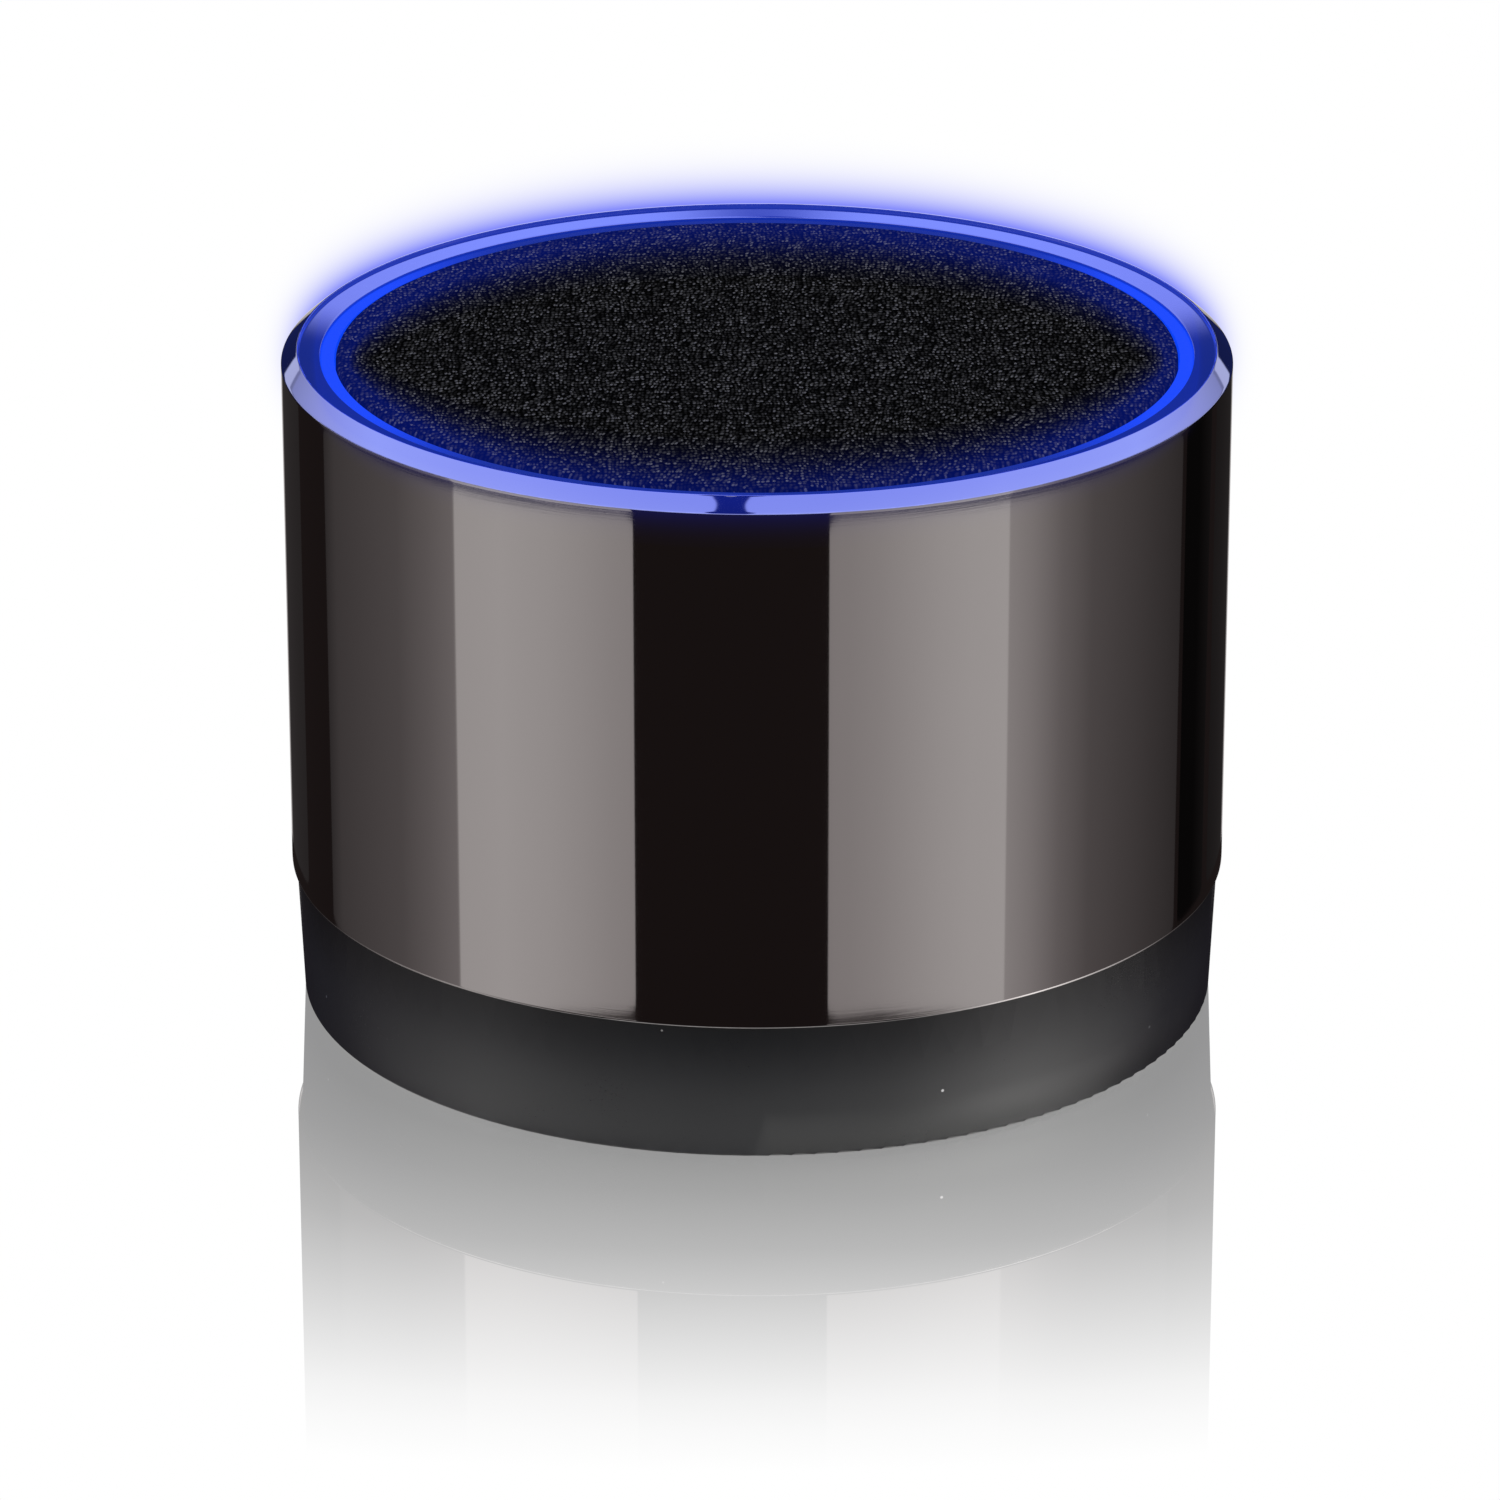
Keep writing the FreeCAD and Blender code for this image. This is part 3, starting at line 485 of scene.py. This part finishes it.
def litRing():
    # lit blue above its flange, with a painted highlight that makes it brightest at both sides; the foot is plain
    # frosted resin
    f = Finish("lightGuide")
    spot = f.place()
    x, y, z = f.parts(spot)
    across = f.sum("SQRT", x * x + y * y)
    # painted highlight: the glow is raised at both sides, not by brighter LEDs there
    sideways = (x / across) ** 2.0
    grit = f.cloud(spot, 0.3, 3)
    glow = f.mix(f.step(sideways, 0.3, 0.85), ringLook["dim"], ringLook["bright"])
    glow = f.mix(grit * 0.12, glow, ringLook["dim"])
    lit = f.step(z, 45.0, 45.6)
    glow = f.mix(lit, (0.0004, 0.003, 0.05), glow)
    skin = f.mix(lit, f.mix(grit * 0.3, ringLook["frost"], (0.5, 0.52, 0.56)), (0.004, 0.012, 0.12))
    return f.surface(Base_Color=skin, Roughness=0.5 + grit * 0.1, Specular_IOR_Level=0.1,
                     Emission_Color=glow, Emission_Strength=1.0, Normal=f.bump(grit, 0.006))


clothLook = {"gap": (0.002, 0.002, 0.002), "yarn": (0.122, 0.122, 0.117), "fleck": (0.3, 0.3, 0.3),
             "wale": 0.27, "course": 0.5}


def knit():
    # a fine black jersey: small loops in drifting wales, uneven yarn and pale specks that are a painted glint of
    # shiny filaments
    f = Finish("grilleKnit")
    spot = f.place()
    x, y, z = f.parts(spot)
    drift, wobble = f.cloud(spot, 6, 2), f.cloud(spot, 1.1, 2)
    u = (x + (drift - 0.5) * 1.6 + (wobble - 0.5) * 0.3) / clothLook["wale"]
    v = (y + (drift - 0.5) * 1.2 + (wobble - 0.5) * 0.4) / clothLook["course"]
    loops = f.cells(f.joined(u, v, 0), 1.0, "F1", True, 0.62)
    lot, other, third = f.parts(loops.also("Color"))
    loop = f.step(loops, 0.62, 0.14)
    fuzz = f.cloud(spot, 0.13, 3, 0.7)
    patch = f.step(f.cloud(spot, 2.6, 3), 0.32, 0.7)
    body = loop * (0.1 + lot * lot * 0.9) * (0.6 + patch * 0.5)
    skin = f.mix(body * (0.5 + fuzz), clothLook["gap"], clothLook["yarn"])
    # painted glint: pale specks in the yarn colour stand in for filaments catching the light
    fleck = f.step(other, 0.5, 1.0) * f.step(other, 0.5, 1.0) * f.step(loop, 0.35, 0.9)
    skin = f.mix(fleck * 0.7, skin, clothLook["fleck"])
    return f.surface(Base_Color=skin, Roughness=0.88 - fleck * 0.3, Specular_IOR_Level=0.0,
                     Normal=f.bump(loop + fuzz * 0.3, 0.1))


# Turned pieces

def guarded(corners):
    # a bevelled corner gets a neighbour on each side, which keeps the long faces flat
    line = []
    for i, corner in enumerate(corners):
        here, width = Vector(corner[:2]), (corner[2] if len(corner) > 2 else 0)
        before = Vector(corners[i - 1][:2])
        after = Vector(corners[(i + 1) % len(corners)][:2])
        if width:
            line.append((here + (before - here).normalized() * width * 3, 0))
        line.append((here, width))
        if width:
            line.append((here + (after - here).normalized() * width * 3, 0))
    return line


def finished(name, work, material):
    mesh = bpy.data.meshes.new(name)
    work.to_mesh(mesh)
    work.free()
    mesh.materials.append(material)
    mesh.polygons.foreach_set("use_smooth", [True] * len(mesh.polygons))
    piece = bpy.data.objects.new(name, mesh)
    scene.collection.objects.link(piece)
    return piece


def turned(name, corners, material, steps, segments=3):
    # a closed outline of (radius, height, bevel) corners, spun round the axis
    line = guarded(corners)
    work = bmesh.new()
    points = [work.verts.new((p.x * mm, 0, p.y * mm)) for p, width in line]
    edges = [work.edges.new(pair) for pair in zip(points, points[1:] + points[:1])]
    bmesh.ops.spin(work, geom=points + edges, cent=(0, 0, 0), axis=(0, 0, 1), dvec=(0, 0, 0),
                   angle=2 * math.pi, steps=steps, use_merge=True, use_duplicate=False)
    bmesh.ops.remove_doubles(work, verts=work.verts, dist=1e-6)
    bmesh.ops.recalc_face_normals(work, faces=work.faces)
    for p, width in line:
        if width:
            ring = [e for e in work.edges
                    if all(abs(math.hypot(v.co.x, v.co.y) - p.x * mm) < 2e-6 and abs(v.co.z - p.y * mm) < 2e-6
                           for v in e.verts)]
            bmesh.ops.bevel(work, geom=ring, offset=width * mm, offset_type="OFFSET", affect="EDGES",
                            segments=segments, profile=0.5, material=-1, clamp_overlap=True)
    return finished(name, work, material)


def takesOver(piece, node, body="base"):
    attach(piece, body)
    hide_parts(node)
    return piece


shellPiece = {"bore": 31.8, "radius": 33.0, "bottom": 9.9, "shoulder": 46.6, "lip": 31.9, "top": 47.5,
              "swell": 0.015}
# the cut edge swells a little between its two corners
cutLow = Vector((shellPiece["radius"], shellPiece["shoulder"]))
cutHigh = Vector((shellPiece["lip"], shellPiece["top"]))
lean = Vector((shellPiece["top"] - shellPiece["shoulder"], shellPiece["radius"] - shellPiece["lip"])).normalized()
crown = [cutLow.lerp(cutHigh, t) + lean * shellPiece["swell"] * 4 * t * (1 - t) for t in (0.2, 0.35, 0.5, 0.65, 0.8)]
shell = turned("shellSleeve", [
    (shellPiece["bore"], shellPiece["bottom"]),
    (shellPiece["radius"], shellPiece["bottom"], 0.06),
    (shellPiece["radius"], shellPiece["shoulder"], 0.06),
    *[tuple(point) for point in crown],
    (shellPiece["lip"], shellPiece["top"], 0.03),
    (shellPiece["bore"], shellPiece["top"], 0.02),
], polishedShell(), 320, segments=4)
takesOver(shell, "shell")

bezelPiece = {"inner": 30.3, "outer": 31.75, "bottom": 45.0, "high": 47.26, "low": 46.97}
bezel = turned("bezelTrim", [
    (bezelPiece["inner"], bezelPiece["bottom"]),
    (bezelPiece["outer"], bezelPiece["bottom"]),
    (bezelPiece["outer"], bezelPiece["high"], 0.05),
    (bezelPiece["inner"], bezelPiece["low"], 0.05),
], bezelGloss(), 320)
takesOver(bezel, "bezel_ring")

ringPiece = {"inner": 29.3, "middle": 29.785, "outer": 30.27, "edge": 46.8, "crown": 46.85,
             "flange": (27.9, 31.5), "under": 44.0, "over": 45.0, "foot": 30.8, "bottom": 43.2}
ring = turned("lightRing", [
    (ringPiece["flange"][0], ringPiece["under"]),
    (ringPiece["foot"], ringPiece["under"]),
    (ringPiece["foot"], ringPiece["bottom"]),
    (ringPiece["flange"][1], ringPiece["bottom"]),
    (ringPiece["flange"][1], ringPiece["over"]),
    (ringPiece["outer"], ringPiece["over"]),
    (ringPiece["outer"], ringPiece["edge"], 0.05),
    (ringPiece["middle"], ringPiece["crown"]),
    (ringPiece["inner"], ringPiece["edge"], 0.05),
    (ringPiece["inner"], ringPiece["over"]),
    (ringPiece["flange"][0], ringPiece["over"]),
], litRing(), 288)
takesOver(ring, "light_ring")
print("turned pieces made")


# Base housing and the two soft rings of the driver: the same shapes, shaded evenly over their curves

def evened(name, node, material, crease):
    # edges sharper than the crease, in degrees, stay sharp
    work = bmesh.new()
    work.from_mesh(cadNodes[node].data)
    bmesh.ops.remove_doubles(work, verts=work.verts, dist=2e-6)
    piece = finished(name, work, material)
    piece.data.set_sharp_from_angle(angle=math.radians(crease))
    return piece


def suspended(name, node, slot, inner, outer):
    # a soft ring between the moving cone and the fixed basket; eased shares by radius are worked out but not applied,
    # so the inside does not follow the cone
    piece = evened(name, node, cadNodes[node].data.materials[0], 32)
    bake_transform(piece)
    radii = [math.hypot(vert.co.x, vert.co.y) / mm for vert in piece.data.vertices]
    shares = [min(max((radius - inner) / (outer - inner), 0), 1) for radius in radii]
    [t * t * (3 - 2 * t) for t in shares]
    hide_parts(node)


# the radii where each ring leaves the cone and where it meets the basket
spiderPiece = {"inner": 8.6, "outer": 15.2}
surroundPiece = {"inner": 19.6, "outer": 22.3}
suspended("spiderCloth", "spider", "spider_cloth", **spiderPiece)
suspended("coneSurround", "cone_surround", "surround_rubber", **surroundPiece)

base = evened("baseBody", "base_housing", mattBase(), baseLook["crease"])
takesOver(base, "base_housing")
print("base and soft rings made")


# Grille cloth, cut as a disc and drawn over the plate's edge, with a thin foam layer beneath

clothPiece = {"flat": 67.6, "radius": 29.2, "crown": 47.2, "edge": 47.0, "shoulder": 0.35, "side": 45.8,
              "fold": 28.0, "hem": 26.6, "under": 45.02, "thick": 0.36, "rings": 24,
              "faceAbove": 46.9, "rise": 0.05, "risePitch": 260}


def stretchedCloth():
    c = clothPiece
    flatEdge, rings = c["radius"] - c["shoulder"], c["rings"]
    line = [(flatEdge * k / rings, c["crown"] - (c["crown"] - c["edge"]) * (k / rings) ** 2)
            for k in range(rings + 1)]
    line += [(c["radius"] - 0.1, c["edge"] - 0.1), (c["radius"], c["edge"] - c["shoulder"]),
             (c["radius"], c["side"]), (c["radius"], c["under"] + 0.15), (c["radius"] - 0.15, c["under"]),
             (c["fold"], c["under"]), (c["hem"], c["under"])]
    work = bmesh.new()
    points = [work.verts.new((r * mm, 0, z * mm)) for r, z in line]
    edges = [work.edges.new(pair) for pair in zip(points, points[1:])]
    bmesh.ops.spin(work, geom=points + edges, cent=(0, 0, 0), axis=(0, 0, 1), dvec=(0, 0, 0),
                   angle=2 * math.pi, steps=144, use_merge=True, use_duplicate=False)
    bmesh.ops.remove_doubles(work, verts=work.verts, dist=1e-6)
    bmesh.ops.recalc_face_normals(work, faces=work.faces)
    # the hand of the cloth: shallow rises between the plate's holes
    for vert in work.verts:
        if vert.co.z > c["faceAbove"] * mm:
            vert.co.z -= c["rise"] * mm * (0.5 + 0.5 * noise.noise(vert.co * c["risePitch"]))
    if sum(face.normal.z for face in work.faces if face.calc_center_median().z > c["faceAbove"] * mm) < 0:
        bmesh.ops.reverse_faces(work, faces=work.faces)
    piece = finished("grilleCloth", work, knit())
    wall = piece.modifiers.new("thickness", "SOLIDIFY")
    wall.thickness, wall.offset = c["thick"] * mm, -1
    return piece


cloth = stretchedCloth()
takesOver(cloth, "grille_cloth")

backingPiece = {"radius": 28.3, "bottom": 46.43, "edge": 46.52, "rise": (14.0, 46.68), "crown": 46.72,
                "tone": (0.012, 0.012, 0.012)}
backing = turned("foamBacking", [
    (0.0, backingPiece["bottom"]),
    (backingPiece["radius"], backingPiece["bottom"]),
    (backingPiece["radius"], backingPiece["edge"], 0.03),
    backingPiece["rise"],
    (0.0, backingPiece["crown"]),
], foam("backingFoam", backingPiece["tone"], 0.4), 96)
takesOver(backing, "grille_cloth")
print("cloth and backing made")


# Studio: glossy-only light cards on a cylinder round the object, a pale floor that mirrors near the base

def visibleTo(thing, *kinds):
    for kind in ("camera", "diffuse", "glossy", "transmission", "volume_scatter", "shadow"):
        setattr(thing, "visible_" + kind, kind in kinds)
    return thing


def staged(name, work, material, *kinds):
    piece = visibleTo(finished(name, work, material), *kinds)
    piece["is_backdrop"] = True
    return piece


# degrees to the right of the front and the level of light there
cardLevels = {
    "left": [(-121.9, 0.045), (-116.5, 0.078), (-102.7, 0.104), (-91.2, 0.128), (-81.1, 0.190), (-73.0, 0.254),
             (-72.6, 0.580), (-60, 0.606), (-47.7, 0.556), (-40.3, 0.508), (-33.2, 0.454), (-27.6, 0.424)],
    "right": [(16.0, 0.382), (20.8, 0.396), (27.6, 0.440), (34.6, 0.500), (41.8, 0.558), (49.2, 0.602),
              (58.6, 0.628), (59.0, 0.430), (65, 0.356), (73.7, 0.218), (83, 0.133), (93.3, 0.102),
              (105.2, 0.072), (118, 0.046)],
    "rightShade": [(120, 0.004), (128, 0.004), (136, 0.010)],
    "rear": [(140, 0.016), (160, 0.022), (164, 0.5), (180, 0.6), (196, 0.5), (200, 0.034), (221, 0.030)],
}
# (degrees from the front, bottom, top) along each row
cardRows = {
    "below": [(27.6, -98, -85.3), (57, -98, -86.9), (105, -98, -89.7), (122, -98, -90.4)],
    "level": [(27.6, -83.6, -31.9), (45, -85.0, -32.4), (57, -86.8, -32.8), (105, -89.6, -34.0),
              (122, -87.8, -34.4)],
    "upper": [(27.6, -31.1, 10), (122, -33.6, 10)],
    "top": [(27.6, 10, 55), (122, 10, 55)],
    "high": [(27.6, 99.0, 150), (122, 99.0, 150)],
}
cardWall = {"radius": 250, "corner": 0.95, "cornerStretch": 15, "dimTint": (1.0, 0.875, 0.885),
            "brightTint": (1.0, 0.955, 0.948)}


def tinted(level):
    share = min(level / 0.6, 1)
    tints = zip(cardWall["dimTint"], cardWall["brightTint"])
    return [level * (dim + (bright - dim) * share) for dim, bright in tints]


def cardLight(name, levels, mirroredOnly):
    # mirrored only: seen in pieces that show in the floor, not in the pieces themselves
    f = Finish(name)
    x, y, z = f.parts(f.place())
    start, end = levels[0][0], levels[-1][0]
    turn = f.sum("ARCTAN2", x, 0 - y) * (180 / math.pi)
    turn = turn + (turn < start - 2) * 360
    level = f.ramp((turn - start) / (end - start),
                   *[((a - start) / (end - start), tinted(v)) for a, v in levels])
    light = f.node("Emission", None, {"Color": level, "Strength": 1.0})
    clear = f.node("BsdfTransparent")
    path = f.node("LightPath")
    hidden = path.also("Is Singular Ray")
    if mirroredOnly:
        hidden = f.top(hidden, path.also("Glossy Depth") < 1.5)
    f.node("OutputMaterial", None, {0: f.node("MixShader", None, {0: hidden, 1: light, 2: clear})})
    return f.material


def edgesAt(row, angle):
    for near, far in zip(row, row[1:]):
        if angle <= far[0]:
            share = max(angle - near[0], 0) / (far[0] - near[0])
            return [a + (b - a) * share for a, b in zip(near[1:], far[1:])]
    return row[-1][1:]


def card(name, start, end, row, material):
    # a flat sheet with rounded corners, sliced upright, widened and bent round the cylinder
    reach, wide = cardWall["radius"], cardWall["cornerStretch"]
    bottom, top = row[0][1:]
    width = math.radians(end - start) * reach / wide
    work = bmesh.new()
    flat = Matrix.Diagonal((width / 2, (top - bottom) / 2, 1, 1))
    bmesh.ops.create_grid(work, x_segments=1, y_segments=1, size=1, matrix=flat)
    bmesh.ops.bevel(work, geom=work.verts[:], offset=cardWall["corner"], offset_type="OFFSET", affect="VERTICES",
                    segments=10, profile=0.5, material=-1)
    count = int((end - start) / 1.5)
    for k in range(1, count):
        everything = work.verts[:] + work.edges[:] + work.faces[:]
        bmesh.ops.bisect_plane(work, geom=everything, dist=1e-5, plane_no=(1, 0, 0),
                               plane_co=(width * (k / count - 0.5), 0, 0))
    for vert in work.verts:
        turn = math.radians((start + end) / 2) + vert.co.x * wide / reach
        share = vert.co.y / (top - bottom) + 0.5
        low, high = edgesAt(row, abs(math.degrees(turn)))
        vert.co = (math.sin(turn) * reach * mm, -math.cos(turn) * reach * mm, (low + (high - low) * share) * mm)
    return staged(name, work, material, "glossy")


# lower sheets, broader and further round, which only the matt foot picks up
footRow = [(0, -220, -99), (180, -220, -99)]
footLevels = {
    "leftFoot": [(-150, 0.02), (-124, 0.06), (-98, 0.3), (-72, 0.55), (-50, 0.1), (-36, 0.0)],
    "rightFoot": [(30, 0.0), (38, 0.1), (50, 0.6), (68, 1.7), (92, 0.8), (118, 0.12), (150, 0.02)],
}
for side, levels in footLevels.items():
    card(side + "Card", levels[0][0], levels[-1][0], footRow, cardLight(side + "Light", levels, False))

for side, levels in cardLevels.items():
    plain, mirrored = cardLight(side + "Light", levels, False), cardLight(side + "MirroredLight", levels, True)
    for row, reach in cardRows.items():
        if side in ("rear", "rightShade") and row == "high":
            continue
        light = mirrored if side == "rear" and row == "top" else plain
        card(side + "Card" + row.capitalize(), levels[0][0], levels[-1][0], reach, light)


floorLook = {"half": 3.0, "roundness": 2.5,
             "stops": [(0, 0.28), (32, 0.29), (37.4, 0.345), (46.7, 0.47), (55.9, 0.645), (64.8, 0.81),
                       (69.2, 0.894), (73.5, 0.95), (79, 1.0), (100, 1.0)]}


def floorFinish():
    f = Finish("floorWhite")
    x, y, z = f.parts(f.place())
    power = floorLook["roundness"]
    away = (abs(x) ** power + abs(y) ** power) ** (1 / power)
    white = f.ramp(f.low(away / 100, 1.0), *[(d / 100, v) for d, v in floorLook["stops"]])
    light = f.node("Emission", None, {"Color": (1, 1, 1), "Strength": 1.0})
    mirror = f.node("BsdfAnisotropic", {"distribution": "GGX"}, {"Color": (1, 1, 1), "Roughness": 0.0})
    f.node("OutputMaterial", None, {0: f.node("MixShader", None, {0: white, 1: mirror, 2: light})})
    return f.material


work = bmesh.new()
bmesh.ops.create_grid(work, x_segments=1, y_segments=1, size=floorLook["half"])
staged("floor", work, floorFinish(), "camera")

# light that comes back up from the pale floor in front of the foot, by degrees to the right of the front;
# a ramp stops at 1, so the levels are divided by rampTop and the strength is multiplied by it
bounceLook = {"strength": 7.5, "rampTop": 2.5, "inner": 33.2, "outer": 47.0, "full": 6,
              "levels": [(-80, 0.02), (-70, 0.1), (-60, 0.12), (-49, 0.65), (-35, 1.15), (-23, 1.05), (-12, 0.85),
                         (0, 0.9), (12, 0.95), (24, 1.6), (34, 2.1), (46, 1.0), (58, 0.1), (70, 0.04), (80, 0.02)]}


def floorBounce(name, look):
    f = Finish(name)
    x, y, z = f.parts(f.place())
    out = f.sum("SQRT", x * x + y * y)
    turn = f.sum("ARCTAN2", x, 0 - y) * (180 / math.pi)
    level = f.ramp(turn / 180 + 0.5, *[(a / 180 + 0.5, v / look["rampTop"]) for a, v in look["levels"]])
    fade = f.step(out, look["outer"], look["inner"] + look["full"])
    f.node("OutputMaterial", None, {0: f.node("Emission", None, {
        "Color": f.mix(fade, (0, 0, 0), level), "Strength": look["strength"] * look["rampTop"]})})
    work = bmesh.new()
    hoop = [work.verts.new((r * mm, 0, -0.0002)) for r in (look["inner"], look["outer"])]
    hoop.append(work.edges.new(hoop))
    bmesh.ops.spin(work, geom=hoop, cent=(0, 0, 0), axis=(0, 0, 1), dvec=(0, 0, 0), angle=2 * math.pi, steps=96,
                   use_merge=True, use_duplicate=False)
    bmesh.ops.remove_doubles(work, verts=work.verts, dist=1e-7)
    staged(name, work, f.material, "diffuse")


floorBounce("floorBounce", bounceLook)


def softLight(name, place, aim, size, power):
    light = bpy.data.lights.new(name, "AREA")
    light.shape, light.size, light.energy = "DISK", size, power
    made = bpy.data.objects.new(name, light)
    made.location = place
    made.rotation_euler = (Vector(aim) - Vector(place)).to_track_quat("-Z", "Y").to_euler()
    made.visible_glossy = False
    scene.collection.objects.link(made)


softLights = {
    "overhead": {"place": (0, 0.05, 0.55), "aim": (0, 0, 0.03), "size": 0.35, "power": 0.42},
    "frontFill": {"place": (-0.25, -0.5, 0.3), "aim": (0, 0, 0.02), "size": 0.3, "power": 0.06},
    "backFill": {"place": (0.3, 0.5, 0.3), "aim": (0, 0, 0.02), "size": 0.3, "power": 0.5},
}
for name, settings in softLights.items():
    softLight(name, **settings)

studio = {"white": (1, 1, 1), "dark": (0.0160, 0.0115, 0.0113), "under": (0.5, 0.49, 0.49),
          "night": (0.006, 0.009, 0.07), "dusk": (0.010, 0.016, 0.10), "gap": (0.012, 0.022, 0.3),
          "spark": (1.3, 1.35, 2.1), "sparkPlace": (0.056, 0.035), "ambient": (0.19, 0.187, 0.172),
          "seamWidth": 0.0335, "seamFlare": 0.02, "seamMiddle": 0.78, "seamLean": 0.0652,
          "sky": [(0.112, (0.010, 0.016, 0.10)), (0.122, (0.62, 0.69, 1.2)), (0.195, (0.64, 0.70, 1.24)),
                  (0.202, (0.26, 0.29, 0.62)), (0.214, (0.26, 0.29, 0.62)), (0.224, (0.36, 0.405, 0.92)),
                  (0.30, (0.42, 0.48, 1.12)), (0.40, (0.50, 0.57, 1.42)), (0.6, (0.62, 0.76, 1.95)),
                  (0.85, (0.56, 0.68, 1.90)), (0.98, (0.46, 0.57, 1.80))]}


def studioWorld():
    # white to the eye and in the floor; glossy pieces see a dark room under a violet ceiling with one seam
    scene.world = bpy.data.worlds.new("studio")
    scene.world.use_nodes = True
    g = Graph(scene.world.node_tree)
    x, y, z = g.parts(g.node("TexCoord", None, None, "Generated"))
    path = g.node("LightPath")
    sky = g.node("VectorMath", {"operation": "SCALE"}, {
        0: g.ramp(z, *[(height, [c / 2 for c in colour]) for height, colour in studio["sky"]]), "Scale": 2})
    # straight behind, the ceiling starts higher
    behind = g.step(y, 0.3, 0.42) * g.step(abs(x), 0.27, 0.2)
    ceiling = g.low(1 - behind + g.step(z, 0.33, 0.42), 1)
    front = g.step(y, 0.4, 0.3)
    bow = (y + 0.142) / 0.11
    width = studio["seamWidth"] + g.low(bow * bow, 1.6) * studio["seamFlare"] * front
    middle = (y - studio["seamMiddle"]) * studio["seamLean"]
    off = abs(x - middle) - width
    seam = g.step(off, 0.004, -0.004 - 0.03 * (1 - front)) * g.step(z, 0.6, 0.66)
    sparkX, sparkY = studio["sparkPlace"]
    spark = g.step(abs(x + sparkX), 0.014, 0.007) * g.step(abs(y + sparkY), 0.02, 0.01) * front
    above = g.mix(seam, g.mix(ceiling, studio["night"], sky), studio["gap"])
    above = g.mix(spark, above, studio["spark"])
    # below the ceiling the room is dark, with a dusk band low at the back and a grey floor further down
    band = g.step(z, -0.17, -0.12) * g.step(z, 0.03, 0.0) * g.step(y, 0.55, 0.7)
    low = g.mix(band, studio["dark"], studio["dusk"])
    low = g.mix(g.step(z, -0.5, -0.6), low, studio["under"])
    room = g.mix(g.step(z, 0.0, 0.02) * (path.also("Glossy Depth") < 1.5), low, above)
    plain = g.top(path.also("Is Camera Ray"), path.also("Is Singular Ray"))
    seen = g.mix(path.also("Is Diffuse Ray"), room, studio["ambient"])
    g.node("OutputWorld", None, {0: g.node("Background", None, {0: g.mix(plain, seen, studio["white"])})})


studioWorld()
print("studio made")


# Glow of the lit ring in the lens

# sizes are shares of the picture's width
glowLook = {"colour": (0.007, 0.045, 0.96), "halo": (0.033, 0.0515), "haloGain": 1.84, "haloMost": 0.76,
            "near": (0.0095, 0.036), "nearGain": 1.5, "nearMost": 0.11}


def ringGlow():
    body = ",".join(piece.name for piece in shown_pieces())
    top = ",".join(piece.name for piece in (ring, bezel, cloth, backing))
    bpy.context.view_layer.use_pass_cryptomatte_object = True
    scene.use_nodes = True
    Graph.family = "Compositor"
    g = Graph(scene.node_tree)
    image = g.node("RLayers")
    lit, disc, rest = [g.node("CryptomatteV2", {"matte_id": names}, {0: image}, "Matte")
                       for names in (ring.name, top, body)]

    def spread(matte, share):
        size = g.node("RelativeToPixel", {"data_type": "VECTOR", "reference_dimension": "X"}, {0: share, 2: image}, 1)
        return g.node("Blur", {"filter_type": "GAUSS"}, {0: matte, "Size": size})

    halo = g.low(spread(disc, glowLook["halo"]) * glowLook["haloGain"], glowLook["haloMost"]) * (1 - rest)
    near = g.low(spread(lit, glowLook["near"]) * glowLook["nearGain"], glowLook["nearMost"]) * rest
    share = (halo + near) * (1 - lit)
    tinted = g.node("MixRGB", None, {0: share, 1: image, 2: glowLook["colour"]})
    g.node("Composite", None, {0: tinted})
    Graph.family = "Shader"


ringGlow()
print("glow made")
